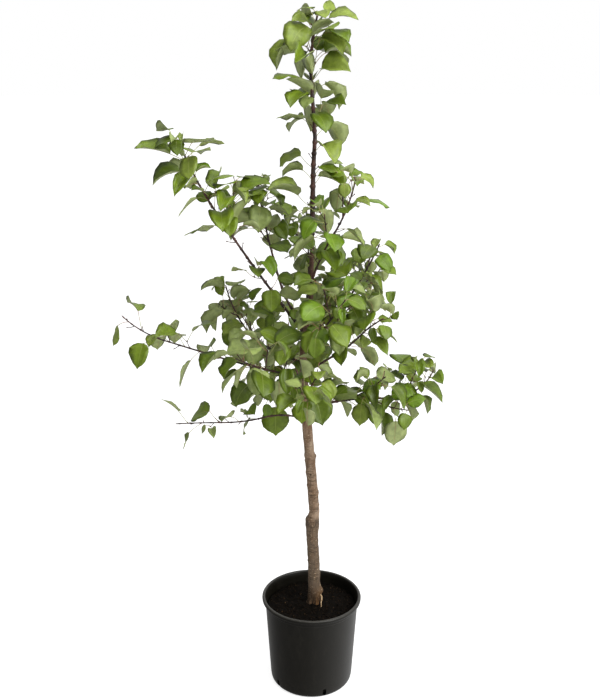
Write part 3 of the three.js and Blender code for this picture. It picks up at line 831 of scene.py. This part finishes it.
class Path:
    """A line through the tree, with two directions square to it that are carried along untwisted"""

    def __init__(self, points):
        self.points = np.array(points, float)
        after = np.vstack([self.points[1:], self.points[-1:]])
        before = np.vstack([self.points[:1], self.points[:-1]])
        self.ahead = unit(after - before)
        side = np.array([0.0, 1, 0]) if abs(self.ahead[0][0]) > 0.8 else np.array([1.0, 0, 0])
        sides = []
        for ahead in self.ahead:
            side = unit(side - side.dot(ahead) * ahead)
            sides.append(side)
        self.side = np.array(sides)
        self.across = np.cross(self.ahead, self.side)

    def part(self, chosen):
        """Some of the path's stations, with the directions that they had"""
        made = object.__new__(Path)
        for name in ("points", "ahead", "side", "across"):
            setattr(made, name, getattr(self, name)[chosen].copy())
        return made

    def lengths(self):
        return np.linalg.norm(np.diff(self.points, axis=0), axis=1)

    def reach(self):
        return self.lengths().sum()

    def station(self, distance):
        """The point at a distance along the path, and the directions of the stretch that it is on"""
        lengths = self.lengths()
        i = 0
        while i < len(lengths) - 1 and distance > lengths[i]:
            distance -= lengths[i]
            i += 1
        share = min(distance / lengths[i], 1)
        point = self.points[i] + (self.points[i + 1] - self.points[i]) * share
        return point, self.ahead[i], self.side[i], self.across[i]


def limb_path(at, heading, rise, length):
    steps = round(length / LIMB_STEP)
    points = [trunk_at(at)[0]]
    for i in range(steps):
        share = (i + 0.5) / steps
        ahead = direction(along(heading, share), along(rise, share))
        points.append(points[i] + ahead * length / steps)
    return Path(points)


def smoothed(path, radii, spacing):
    """A finer line through a path's points, with its radii"""
    distance = np.concatenate([[0], np.cumsum(path.lengths())])
    count = max(round(distance[-1] / spacing), 3)
    places = np.linspace(0, distance[-1], count + 1)
    index = np.clip(np.searchsorted(distance, places, side="right") - 1, 0, len(distance) - 2)
    share = ((places - distance[index]) / (distance[index + 1] - distance[index]))[:, None]
    tangents = np.gradient(path.points, distance, axis=0)
    stretch = (distance[index + 1] - distance[index])[:, None]
    start = path.points[index]
    end = path.points[index + 1]
    a = 2 * share**3 - 3 * share**2 + 1
    b = share**3 - 2 * share**2 + share
    c = share**3 - share**2
    points = a * start + b * stretch * tangents[index] + (1 - a) * end + c * stretch * tangents[index + 1]
    return Path(points), np.interp(places, distance, radii)


def wood_rings(path, radii, sides, seed, collar=0.0):
    """Rings of young bark: swollen at its joints, a little uneven, and wider where it leaves the trunk"""
    turns = np.arange(sides) * math.tau / sides
    run = np.concatenate([[0], np.cumsum(path.lengths())])
    joint, gap = np.divmod(run + seed * 7.3, JOINT_GAP)
    gap = gap - JOINT_GAP / 2
    swell = 1 + JOINT_RISE * np.exp(-((gap / JOINT_REACH) ** 2)) + collar * np.exp(-run / COLLAR_REACH)
    out = path.side[:, None] * np.cos(turns)[:, None] + path.across[:, None] * np.sin(turns)[:, None]
    facing = np.cos(turns[None] - joint[:, None] * math.radians(GOLDEN_TURN))
    bud = BUD_RISE * np.exp(-((gap[:, None] / BUD_REACH) ** 2)) * np.clip(facing, 0, 1) ** 2
    rough = wander((path.points[:, None] + out * radii[:, None, None] * 2).reshape(-1, 3), 6, seed)
    radius = radii[:, None] * (swell[:, None] + bud + BARK_RISE * rough.reshape(len(run), sides))
    return path.points[:, None] + out * radius[:, :, None]


young_bark = Finish("young_bark", Specular_IOR_Level=0.45)
skin_patches = young_bark.grain(22 * MM, 4.0)
skin_grain = young_bark.grain(3 * MM, 3.0)
dots = young_bark.grain(1.1 * MM, 0.0)
young_base = young_bark.blend(skin_patches.between(0.38, 0.68), YOUNG_DARK, YOUNG_RED)
young_base = young_bark.blend(skin_grain.between(0.55, 0.75) * 0.4, young_base, seen(20, 14, 14))
young_bark.colour(young_bark.blend(dots.between(0.68, 0.76) * 0.5, young_base, seen(150, 122, 96)))
young_bark.roughness(0.42 + skin_grain * 0.2)
young_bark.bump(skin_grain * 0.6 + dots.between(0.6, 0.76) * 0.4, 0.5 * MM)

limbs = {}
bough_places = []
for index, (name, (at, heading, rise, length, bare, radius)) in enumerate(BOUGHS.items()):
    path = limb_path(at, heading, rise, length)
    radii = np.linspace(*radius, len(path.points))
    split = round(bare / LIMB_STEP)
    limbs[name] = (path, radii, split)
    line, thickness = smoothed(path.part(slice(0, split + 1)), radii[: split + 1], BOUGH_RING)
    rings = wood_rings(line, thickness * YEARLING_STOUT, BOUGH_SIDES, index, COLLAR_RISE)
    bough_places.append((*tube_through(rings), [0]))
boughs = joined_piece("bough_bark", bough_places, [young_bark])
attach(boughs, "root")
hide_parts(*["bough_" + name for name in BOUGHS])

# Leafy shoots
# Each bough goes on as a leafy stem with side twigs, and leaves stand along them all, each turned on
# from the last. The rule keeps every new leaf clear of the wood and of the leaves before it.
CLEARANCE = 0.3  # between a stem and the wood it grows on from
STEM_RINGS = 4  # limb steps between the turns of a stem's line
TWIG_ANGLE = 48
TWIG_LIFT = 12
TWIG_REACH = 0.42  # of the leafy stem's length
TWIG_RADII = (1.8, 1.3)
TWIG_STEPS = 4
TWIG_ZONE = (0.12, 0.62)  # where on the stem twigs begin, and over how much of it they are spread
STALK_ANGLE = 58
STALK_VARIES = (0.75, 1.25)
STALK_SWAY = 50
STALK_LIFT = 0.25
STALK = (30, 52)
BLADE = (66, 92)
TIP_SIZE = 0.6  # a leaf at the tip is this share of a full one
TIP_ZONE = 45
DROOP = (5, 70)
ROLL = 38
FIRST_LEAF = 12  # from a twig's foot, or on a short twig the share below
FIRST_SHARE = 0.2
TRIES = 7
SMALLER = 0.05  # how much smaller a leaf is drawn at each new try
NEXT_TRY = 40  # degrees that it is turned on
BLADE_CURL = 38
STEEPEST = -0.9  # a blade that points down as far as this bends no further
# Place along the blade and half width, as shares of its length, where the rule tests for room
BLADE_RINGS = ((0, 0.018), (0.22, 0.38), (0.6, 0.38), (1, 0))
AIR_BETWEEN = 1.0
AIR_SAME_SHOOT = 0.85
AIR_ROD = 3
AGAINST_WOOD = 0.5  # the share of a ball's radius that has to be free of wood
# The balls that stand for a leaf's stalk in the rule: place along it and radius
STALK_BALLS = ((0.45, 2.5), (0.85, 3.5))
BALL_SIZE = 0.12  # a blade ball's radius, as a share of the blade's length
BALLS_ACROSS = (-0.68, 0, 0.68)  # shares of the half width
TIP_BALL = (0.6, 0.8)  # its place from the last wide one to the tip, and its share of a ball
TWIG_BALL = 5  # the room that a new twig needs round it
UP = np.array([0.0, 0, 1])
# Each shoot's number of twigs, gaps between leaves from its foot to its tip, and seed
SHOOTS = {
    "leader": (0, [58, 46, 22, 12, 8], 39),
    "left_high": (1, [30, 24, 14], 359),
    "left_middle": (0, [44, 40, 36], 157),
    "left_low": (0, [60, 50, 26], 451),
    "right_low": (3, [36, 26, 18], 346),
    "left_inner": (2, [29, 20, 14], 170),
    "front_upright": (2, [31, 23, 15], 17),
    "right_high": (3, [32, 25, 17], 330),
    "right_middle": (2, [32, 25, 17], 278),
    "back_left": (3, [29, 22, 15], 457),
    "left_lower": (2, [24, 20, 15], 302),
    "front_left": (2, [32, 25, 17], 85),
    "front_low": (2, [32, 25, 17], 84),
    "front_right": (2, [32, 25, 17], 386),
    "back_right": (3, [32, 25, 17], 30),
    "back_upright": (2, [32, 25, 17], 464),
    "back_low": (3, [34, 26, 18], 165),
}


def seeded(seed):
    """Values between 0 and 1 that depend only on the seed"""
    state = seed * 7919 + 104729
    while True:
        state = (state * 16807) % 2147483647
        yield state / 2147483647


def drawn(random, low, high):
    return low + (high - low) * next(random)


class Room:
    """Where wood and leaves already are: rods stand for wood, and balls for leaves"""

    def __init__(self):
        self.balls = np.empty((0, 5))
        self.rods = np.empty((0, 8))
        self.names = {}

    def number(self, name):
        return self.names.setdefault(name, len(self.names))

    def add_rods(self, path, radii, owner):
        thick = np.maximum(radii[:-1], radii[1:])
        owners = np.full(len(thick), self.number(owner))
        made = np.column_stack([path.points[:-1], path.points[1:], thick, owners])
        self.rods = np.vstack([self.rods, made])

    def add_balls(self, balls, shoot):
        shoots = np.full(len(balls), self.number(shoot))
        self.balls = np.vstack([self.balls, np.column_stack([balls[:, :4], shoots])])

    def is_clear(self, balls, owner, shoot, air=1.0):
        """Whether balls, each a place, a radius and 1 near its root, fit among what is there"""
        points = balls[:, None, :3]
        radii = balls[:, None, 3]
        same = self.balls[:, 4] == self.number(shoot)
        share = np.where(same, AIR_SAME_SHOOT, AIR_BETWEEN) * air
        apart = np.linalg.norm(points - self.balls[:, :3], axis=2)
        if (apart < (radii + self.balls[:, 3]) * share).any():
            return False
        start = self.rods[:, :3]
        run = self.rods[:, 3:6] - start
        share = ((points - start) * run).sum(2) / (run * run).sum(1)
        nearest = start + run * np.clip(share, 0, 1)[:, :, None]
        apart = np.linalg.norm(points - nearest, axis=2)
        touching = apart < radii * AGAINST_WOOD + self.rods[:, 6] + AIR_ROD * air
        own_root = (self.rods[:, 7] == self.number(owner)) & (balls[:, None, 4] > 0)
        return not (touching & ~own_root).any()


def lowered(ahead, angle):
    """A direction turned down by some degrees"""
    rise = math.asin(min(max(ahead[2], -1), 1)) - math.radians(angle)
    level = unit(np.array([ahead[0], ahead[1], 0]))
    return level * math.cos(rise) + UP * math.sin(rise)


def blade_frame(ahead, roll):
    """The upper side's direction and the direction across the blade"""
    face = unit(UP - UP.dot(ahead) * ahead)
    turn = math.radians(roll)
    face = face * math.cos(turn) + np.cross(ahead, face) * math.sin(turn)
    return face, np.cross(ahead, face)


def midrib(leaf, places, bend, twist=0, steepest=STEEPEST):
    """The midrib's points, with the directions up from the blade and across it, as it curls down"""
    ahead = lowered(leaf["out"], leaf["droop"])
    point = leaf["base"]
    rows = []
    for i, place in enumerate(places):
        if i:
            step = place - places[i - 1]
            if ahead[2] > steepest:
                ahead = lowered(ahead, bend(place) * step)
            point = point + ahead * step * leaf["blade"]
        rows.append((point, *blade_frame(ahead, leaf["roll"] + twist * place)))
    return rows


def leaf_balls(leaf):
    """Balls spread over a leaf: two on its stalk, three across each wide place and one near its tip"""
    radius = leaf["blade"] * BALL_SIZE
    rows = midrib(leaf, [place for place, _ in BLADE_RINGS], lambda place: BLADE_CURL)
    stalk = leaf["base"] - leaf["root"]
    high = rows[2][0]
    on, smaller = TIP_BALL
    balls = [[*(leaf["root"] + stalk * share), size, 1] for share, size in STALK_BALLS]
    balls.append([*(high + (rows[3][0] - high) * on), radius * smaller, 0])
    for (point, _, side), (_, half) in zip(rows[1:3], BLADE_RINGS[1:3]):
        for share in BALLS_ACROSS:
            balls.append([*(point + side * share * half * leaf["blade"]), radius, 0])
    return np.array(balls)


def sideways(station, turn, angle):
    """A direction that leaves a stem at an angle, turned round it"""
    _, ahead, side, across = station
    turn = math.radians(turn)
    angle = math.radians(angle)
    out = side * math.cos(turn) + across * math.sin(turn)
    return unit(out * math.sin(angle) + ahead * math.cos(angle))


def twig_path(start, ahead, length):
    points = [start]
    for _ in range(TWIG_STEPS):
        ahead = unit(ahead + UP * math.sin(math.radians(TWIG_LIFT)) / 2)
        points.append(points[-1] + ahead * length / TWIG_STEPS)
    return Path(points)


def new_wood(path, line, radii, owner, shoot):
    """A stem or a twig: the path that the rule follows, the line that is shown, and room for leaves"""
    return {"path": path, "line": line, "radii": radii, "owner": owner, "shoot": shoot, "leaves": []}


def grow_twigs(room, shoot, stem, count, random):
    """Side twigs, shorter towards the tip of the stem, and turned on where there is no room"""
    first, spread = TWIG_ZONE
    reach = stem.reach()
    twigs = []
    for i in range(count):
        share = first + spread * (i + next(random) * 0.7) / count
        station = stem.station(reach * share)
        length = reach * TWIG_REACH * (1.1 - 0.5 * share) * (0.8 + 0.4 * next(random))
        turn = next(random) * 360
        for _ in range(TRIES):
            path = twig_path(station[0], sideways(station, turn, TWIG_ANGLE), length)
            balls = np.array([[*point, TWIG_BALL, 1] for point in path.points[1:]])
            if room.is_clear(balls, shoot, shoot):
                radii = np.linspace(*TWIG_RADII, TWIG_STEPS + 1)
                owner = f"{shoot}/{i}"
                twigs.append(new_wood(path, path, radii, owner, shoot))
                room.add_rods(path, radii, owner)
                break
            turn += GOLDEN_TURN
    return twigs


def draw_leaf(station, turn, size, random):
    """One leaf from the rule's draws: where its stalk points, how long it is, and how its blade hangs"""
    turned = turn + (next(random) - 0.5) * STALK_SWAY
    out = sideways(station, turned, STALK_ANGLE * drawn(random, *STALK_VARIES))
    out = unit(out + UP * STALK_LIFT)
    stalk = drawn(random, *STALK) * size
    blade = drawn(random, *BLADE) * size
    droop = drawn(random, *DROOP)
    roll = (next(random) * 2 - 1) * ROLL
    base = station[0] + out * stalk
    return {"root": station[0], "out": out, "base": base, "blade": blade, "droop": droop, "roll": roll}


def grow_leaves(room, twig, gap, random):
    path = twig["path"]
    reach = path.reach()
    turn = next(random) * 360
    distance = min(FIRST_LEAF, reach * FIRST_SHARE)
    while distance < reach:
        size = TIP_SIZE + (1 - TIP_SIZE) * min((reach - distance) / TIP_ZONE, 1)
        for attempt in range(TRIES):
            leaf = draw_leaf(path.station(distance), turn, size * (1 - SMALLER * attempt), random)
            balls = leaf_balls(leaf)
            if room.is_clear(balls, twig["owner"], twig["shoot"]):
                twig["leaves"].append(leaf)
                room.add_balls(balls, twig["shoot"])
                break
            turn += NEXT_TRY
        turn += GOLDEN_TURN
        distance += along(gap, distance / reach)


def thinned(count, every):
    """Which places of a row are kept: the first, the last and every so many between"""
    return [i for i in range(count) if i == count - 1 or (i % every == 0 and count - 1 - i > every / 2)]


def begin_stem(room, name, line, radii, gap):
    """A shoot's stem: its fine line is for the mesh, and the thinned one is the rule's"""
    chosen = thinned(len(line.points), STEM_RINGS)
    path = line.part(chosen)
    path.points[0] += path.ahead[0] * gap
    room.add_rods(path, radii[chosen], name)
    return new_wood(path, line, radii, name, name)


room = Room()
heights = [z for z in TRUNK_STATIONS[:, 0] if z <= LEADER_START]
room.add_rods(Path([trunk_at(z)[0] for z in heights]), [trunk_at(z)[1] for z in heights], "trunk")

top = TRUNK_STATIONS[-1][0]
start = LEADER_START + CLEARANCE
steps = round((top - start) / LIMB_STEP)
leader = [trunk_at(start + (top - start) * i / steps) for i in range(steps + 1)]
leader_radii = np.array([radius for _, radius in leader])
stems = {"leader": begin_stem(room, "leader", Path([point for point, _ in leader]), leader_radii, 0)}
bare_boughs = {}
for name, (path, radii, split) in limbs.items():
    bare_boughs[name] = path.part(slice(0, split + 1))
    room.add_rods(bare_boughs[name], radii[: split + 1], name + "/bough")
    stems[name] = begin_stem(room, name, path.part(slice(split, None)), radii[split:], CLEARANCE)

twigs = []
for name, (count, gap, seed) in SHOOTS.items():
    random = seeded(seed)
    grown = [stems[name], *grow_twigs(room, name, stems[name]["path"], count, random)]
    for twig in grown:
        grow_leaves(room, twig, gap, random)
    twigs.extend(grown)

# Fine twigs
# The same rule goes on to the fine wood: short spurs stand along stems, twigs and boughs. Some of
# them bear one or two smaller leaves where there is room, and the others end in a bare bud.
SPUR_FIRST = (4, 18)  # from the bare foot of the wood to its first spur
SPUR_MARGIN = 4  # from the last one to the end of the wood
SPUR_ANGLE = (40, 65)
SPUR_GAP = (17, 30)
SPUR_LENGTH = (5, 26)
SPUR_RADII = (1.15, 0.8)
SPUR_LEAVES = 2
SPUR_TRIES = 4
SPUR_NEXT_TRY = 50
SPUR_AIR = 0.7
LEADER_STOUT = 1.35
STEM_RING = 2.8  # from one ring of points to the next on a stem, a twig and a spur
TWIG_RING = 3.2
SPUR_RING = 4
STEM_SIDES = 10
TWIG_SIDES = 8
SPUR_SIDES = 6
# The foot that stays bare on a twig and on a bough
TWIG_FOOT = 4
BOUGH_FOOT = 24
# The share of spurs that bear leaves, evenly spaced along the wood, and the least and greatest size
BOUGH_HABIT = ([0.14], 0.4, 0.76)
TWIG_HABIT = ([0.26], 0.4, 0.76)
SPARSE = ([0.16], 0.36, 0.72)
HABITS = {
    "left_high": ([0.45], 0.5, 0.9),
    "left_middle": ([0.3], 0.5, 0.95),
    "left_low": ([0.12], 0.36, 0.72),
    "right_low": ([0.5], 0.5, 0.9),
    "leader": ([0.1, 0.15, 0.9, 1.0], 0.7, 1.05),
    "left_lower": SPARSE,
    "front_left": SPARSE,
    "front_low": ([0.14], 0.36, 0.72),
    "back_low": SPARSE,
}
FINE_SEEDS = {
    "leader": 162, "left_high": 184, "left_middle": 79, "left_low": 94, "right_low": 10,
    "left_inner": 212, "front_upright": 194, "right_high": 213, "right_middle": 196,
    "back_left": 109, "left_lower": 83, "front_left": 115, "front_low": 51, "front_right": 147,
    "back_right": 192, "back_upright": 129, "back_low": 76,
}


def within_reach(balls):
    """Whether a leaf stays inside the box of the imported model"""
    points = balls[:, :3] * MM
    return (points > np.array(cad_low)).all() and (points < np.array(cad_high)).all()


def grow_spurs(room, path, owner, shoot, random, habit, foot):
    """Spurs along a length of wood. A spur without room for a leaf stays a bare bud."""
    shares, smallest, largest = habit
    spurs = []
    reach = path.reach()
    distance = foot + drawn(random, *SPUR_FIRST)
    turn = next(random) * 360
    while distance < reach - SPUR_MARGIN:
        station = path.station(distance)
        ahead = sideways(station, turn, drawn(random, *SPUR_ANGLE))
        length = drawn(random, *SPUR_LENGTH)
        path_on = twig_path(station[0], ahead, length)
        leaves = []
        if next(random) < along(shares, distance / reach):
            around = next(random) * 360
            tip = path_on.station(length)
            for _ in range(SPUR_LEAVES):
                for _ in range(SPUR_TRIES):
                    leaf = draw_leaf(tip, around, drawn(random, smallest, largest), random)
                    balls = leaf_balls(leaf)
                    if within_reach(balls) and room.is_clear(balls, owner, shoot, SPUR_AIR):
                        leaves.append(leaf)
                        room.add_balls(balls, shoot)
                        break
                    around += SPUR_NEXT_TRY
                around += GOLDEN_TURN
        spurs.append({"path": path_on, "shoot": shoot, "leaves": leaves})
        distance += drawn(random, *SPUR_GAP)
        turn += GOLDEN_TURN
    return spurs


spurs = []
for name, seed in FINE_SEEDS.items():
    random = seeded(seed)
    habit = HABITS.get(name, TWIG_HABIT)
    for twig in twigs:
        if twig["shoot"] == name:
            spurs.extend(grow_spurs(room, twig["path"], twig["owner"], name, random, habit, TWIG_FOOT))
    if name in bare_boughs:
        habit = HABITS.get(name, BOUGH_HABIT)
        wood = bare_boughs[name]
        spurs.extend(grow_spurs(room, wood, name + "/bough", name, random, habit, BOUGH_FOOT))

wood_places = []
for index, twig in enumerate(twigs):
    is_stem = twig["owner"] == twig["shoot"]
    line, thickness = smoothed(twig["line"], twig["radii"], STEM_RING if is_stem else TWIG_RING)
    if is_stem:
        thickness *= LEADER_STOUT if twig["shoot"] == "leader" else YEARLING_STOUT
    sides = STEM_SIDES if is_stem else TWIG_SIDES
    wood_places.append((*tube_through(wood_rings(line, thickness, sides, index)), [0]))
for spur in spurs:
    line, thickness = smoothed(spur["path"], np.linspace(*SPUR_RADII, TWIG_STEPS + 1), SPUR_RING)
    wood_places.append((*tube_through(pointed_rings(line.points, thickness, SPUR_SIDES)), [0]))
fine_wood = joined_piece("leafy_twigs", wood_places, [young_bark])
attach(fine_wood, "root")

# Buds
# A small pointed bud sits in the crook of each leaf stalk, and one ends each twig and spur. Their
# scales are brown, with darker patches.
BUD = (2.6, 1.3)  # half its length and half its width
END_BUD = (3.0, 1.5)
bud_finish = Finish("bud_scale", Specular_IOR_Level=0.4)
bud_grain = bud_finish.grain(1.5 * MM, 2.0)
bud_finish.colour(bud_finish.blend(bud_grain, seen(44, 26, 22), seen(104, 66, 46)))
bud_finish.roughness(0.5 + bud_grain * 0.2)


def set_ball(form, centre, ahead, long, wide):
    """A ball drawn out to an egg along a direction"""
    side = unit(np.cross(ahead, [0.31, 0.17, 0.93]))
    return (form.points @ np.array([side * wide, np.cross(ahead, side) * wide, ahead * long]) + centre) * MM


bud_form = ball_form(1)
bud_places = []
for twig in twigs + spurs:
    tip = twig["path"].points[-1]
    end = twig["path"].ahead[-1]
    bud_places.append((bud_form, set_ball(bud_form, tip, end, *END_BUD), [0]))
    for leaf in twig["leaves"]:
        lean = unit(leaf["out"] + UP * 0.4)
        place = leaf["root"] + lean * BUD[0]
        bud_places.append((bud_form, set_ball(bud_form, place, lean, *BUD), [0]))
buds = joined_piece("buds", bud_places, [bud_finish])
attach(buds, "root")

# Leaves
# Broad, rounded blades that end in a short drawn-out point. Each is folded along its midrib, curls
# down and waves at its edge. The upper side is satin green and the lower one is paler and duller.
BLADE_ROWS = (0, 0.04, 0.14, 0.29, 0.47, 0.66, 0.81, 0.91, 1)  # places along the blade
BLADE_COLUMNS = 4
WIDEST = 0.42  # of the way along the blade
ROUND_END = 0.94  # of the way along, where the round part would close without its point
HALF_WIDTH = 0.48  # of the blade's length
POINT_HALF_WIDTH = 0.13
POINT_START = 0.8
# A drawn blade is between these shares of the length that the rule gives its room.
BLADE_SHARE = (0.74, 0.98)
FREE_BLADE_SHARE = (0.9, 1.04)
FREE_LIMBS = ("leader", "left_high", "left_middle")
BLADE_THICKNESS = 0.45
RIB_DROP = 0.45
VEIN_PAIRS = 7
# How far each half of a blade is turned up, in degrees, and the share of leaves that nearly shut
FOLDED_OPEN = (3, 32)
FOLDED_SHUT = (34, 60)
SHUT_SHARE = 0.3
# Where leaves differ: curl and bow, breadth, cup, the edge's waves, their height and how far they sway,
# and twist in degrees
CURL = (0.5, 1.7)
STALK_BOW = (-0.1, 0.12)
BREADTH = (0.88, 1.04)
CUP = (-0.05, 0.25)
WAVES = (6, 11)
WAVE_RISE = (0.02, 0.09)
WAVE_SWAY = 0.045
TWIST = 14
STEEPEST_SHOWN = -0.92
TWIG_GREEN = 0.5  # the share of leaves that have their twig's green
# The stalk's radius from its root to the blade, and the midrib's from there to the tip
STALK_RADII = [1.1, 0.8, 0.72, 0.72, 0.78]
RIB_RADII = (0.8, 0.25)
GREENS = [
    seen(82, 102, 4),
    seen(94, 117, 8),
    seen(106, 128, 18),
    seen(122, 140, 48),
    seen(98, 128, 10),
    seen(140, 156, 86),
]
GREEN_SHARES = [0.2, 0.24, 0.24, 0.16, 0.07, 0.09]
UNDERSIDE = seen(146, 158, 98)
STALK_COLOURS = (seen(150, 104, 84), seen(140, 140, 78))


def half_width(place):
    """The blade's outline: nearly round, with a short point that goes on from its end"""
    if place < WIDEST:
        return HALF_WIDTH * math.sqrt(max(1 - (1 - place / WIDEST) ** 2, 0)) ** 0.85
    run = (place - WIDEST) / (ROUND_END - WIDEST)
    body = HALF_WIDTH * max(1 - run**2, 0) ** 0.78
    point = POINT_HALF_WIDTH * (1 - place) / (1 - POINT_START)
    return max(body, min(point, POINT_HALF_WIDTH))


def blade_form():
    """A flat blade of unit length: its upper sheet, and a lower one that meets it at the edge"""
    form = bmesh.new()
    steps = len(BLADE_ROWS) - 1
    bmesh.ops.create_grid(form, x_segments=BLADE_COLUMNS, y_segments=steps, size=1)
    for vert in form.verts:
        vert.co.y = BLADE_ROWS[round((vert.co.y + 1) / 2 * steps)]
        if vert.co.y in (0, 1):
            vert.co.x = 0
    bmesh.ops.remove_doubles(form, verts=form.verts, dist=1e-5)
    copied = bmesh.ops.duplicate(form, geom=form.faces[:])["geom"]
    lower = [item for item in copied if isinstance(item, bmesh.types.BMFace)]
    bmesh.ops.reverse_faces(form, faces=lower)
    for face in lower:
        face.material_index = 1
    for vert in {vert for face in lower for vert in face.verts if not vert.is_boundary}:
        vert.co.z = -1
    bmesh.ops.remove_doubles(form, verts=form.verts, dist=1e-5)
    for edge in form.edges:
        edge.smooth = len({face.material_index for face in edge.link_faces}) == 1
    return Form(form)


def leaf_line(leaf, places):
    """The midrib with a twist, curled more towards its tip"""
    def bend(place):
        return BLADE_CURL * leaf["curl"] * (0.55 + 0.9 * place)

    rows = midrib(leaf, places, bend, leaf["twist"], STEEPEST_SHOWN)
    return [np.array(column) for column in zip(*rows)]


def set_blade(form, row, width, line, leaf, random):
    """The unit blade laid along a leaf's midrib, folded, cupped and waved"""
    points, face, side = line
    across, place, sheet = form.points.T
    swing = np.sin(place * random.uniform(*WAVES) + np.where(across < 0, *random.uniform(0, math.tau, 2)))
    broad = width[row] * leaf["blade"] * random.uniform(*BREADTH) * (1 + WAVE_SWAY * swing)
    fold = math.radians(random.uniform(*FOLDED_SHUT if random.random() < SHUT_SHARE else FOLDED_OPEN))
    cup = random.uniform(*CUP)
    wave = random.uniform(*WAVE_RISE) * leaf["blade"] * swing * np.sin(math.pi * place)
    out = across * broad * math.cos(fold)
    rise = np.abs(across) * broad * math.sin(fold) + across**2 * (wave - broad * cup)
    lift = rise + sheet * BLADE_THICKNESS
    return (points[row] + side[row] * out[:, None] + face[row] * lift[:, None]) * MM


def stalk_rings(line, leaf):
    """The stalk, bowed a little, which runs on under the blade as its tapering midrib"""
    points, face, _ = line
    run = leaf["base"] - leaf["root"]
    share = np.linspace(0, 0.9, len(STALK_RADII))[:, None]
    bow = UP * np.linalg.norm(run) * leaf["bow"]
    stalk = leaf["root"] + run * share + bow * 4 * share * (1 - share)
    rib = points[:-1] - face[:-1] * RIB_DROP
    radii = [*STALK_RADII, *np.linspace(*RIB_RADII, len(rib))]
    return pointed_rings(np.vstack([stalk, rib]), radii, 5)


def leaf_finish(name, colour, veined):
    """Satin green with paler veins, a little mottled"""
    finish = Finish(name, Specular_IOR_Level=0.45)
    blade = finish.node("Attribute", {"attribute_name": "blade"}, {}, "Vector")
    across = abs(finish.split(blade, "X"))
    vein = ((finish.split(blade, "Y") - across * 0.24) * VEIN_PAIRS).zigzag(0.5).between(0.44, 0.5)
    lines = vein * 0.4 | 1 - across.between(0.01, 0.045)
    mottle = finish.grain(16 * MM, 3.0)
    pale = [value + (1 - value) * 0.1 for value in colour[:2]] + [colour[2] + 0.04, 1.0]
    deep = [value * 0.74 for value in colour[:3]] + [1.0]
    base = finish.blend(mottle.between(0.36, 0.66), deep, colour)
    finish.colour(finish.blend(lines * veined, base, pale))
    finish.roughness(0.38 + mottle * 0.14)
    finish.bump(mottle * 0.5 + (1 - lines) * 0.5, 0.7 * MM)
    return finish


def dressed(grown, seed):
    """All blades and stalks, with a green dealt out to each twig and varied a little from leaf to leaf"""
    random = np.random.default_rng(seed)
    form = blade_form()
    rows, row = np.unique(np.round(form.points[:, 1], 6), return_inverse=True)
    width = np.array([half_width(place) for place in rows])
    blades = []
    stalks = []
    for twig in grown:
        green = int(random.choice(len(GREENS), p=GREEN_SHARES))
        share = FREE_BLADE_SHARE if twig["shoot"] in FREE_LIMBS else BLADE_SHARE
        for leaf in twig["leaves"]:
            leaf["blade"] *= random.uniform(*share)
            leaf["curl"] = random.uniform(*CURL)
            leaf["twist"] = random.normal(0, TWIST)
            leaf["bow"] = random.uniform(*STALK_BOW)
            own = int(random.choice(len(GREENS), p=GREEN_SHARES))
            tint = green if random.random() < TWIG_GREEN else own
            line = leaf_line(leaf, rows)
            blades.append((form, set_blade(form, row, width, line, leaf, random), [tint, len(GREENS)]))
            stalks.append((*tube_through(stalk_rings(line, leaf)), [int(random.integers(2))]))
    return form, blades, stalks


blade, blade_places, stalk_places = dressed(twigs + spurs, 5)
leaf_greens = [leaf_finish(f"leaf_green_{i}", colour, 0.7) for i, colour in enumerate(GREENS)]
leaf_under = leaf_finish("leaf_underside", UNDERSIDE, 0.6)
blades = joined_piece("leaf_blades", blade_places, [*leaf_greens, leaf_under])
places_on_blade = blades.data.attributes.new("blade", "FLOAT_VECTOR", "POINT")
places_on_blade.data.foreach_set("vector", np.tile(blade.points, (len(blade_places), 1)).ravel())
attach(blades, "root")
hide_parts(*["leaves_" + name for name in SHOOTS])

stalk_finishes = []
for i, colour in enumerate(STALK_COLOURS):
    stalk_finish = Finish(f"leaf_stalk_{i}", Roughness=0.5, Specular_IOR_Level=0.4)
    stalk_grain = stalk_finish.grain(12 * MM, 2.0)
    stalk_finish.colour(stalk_finish.blend(stalk_grain.between(0.35, 0.65), colour, seen(146, 150, 92)))
    stalk_finishes.append(stalk_finish)
stalks = joined_piece("leaf_stalks", stalk_places, stalk_finishes)
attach(stalks, "root")
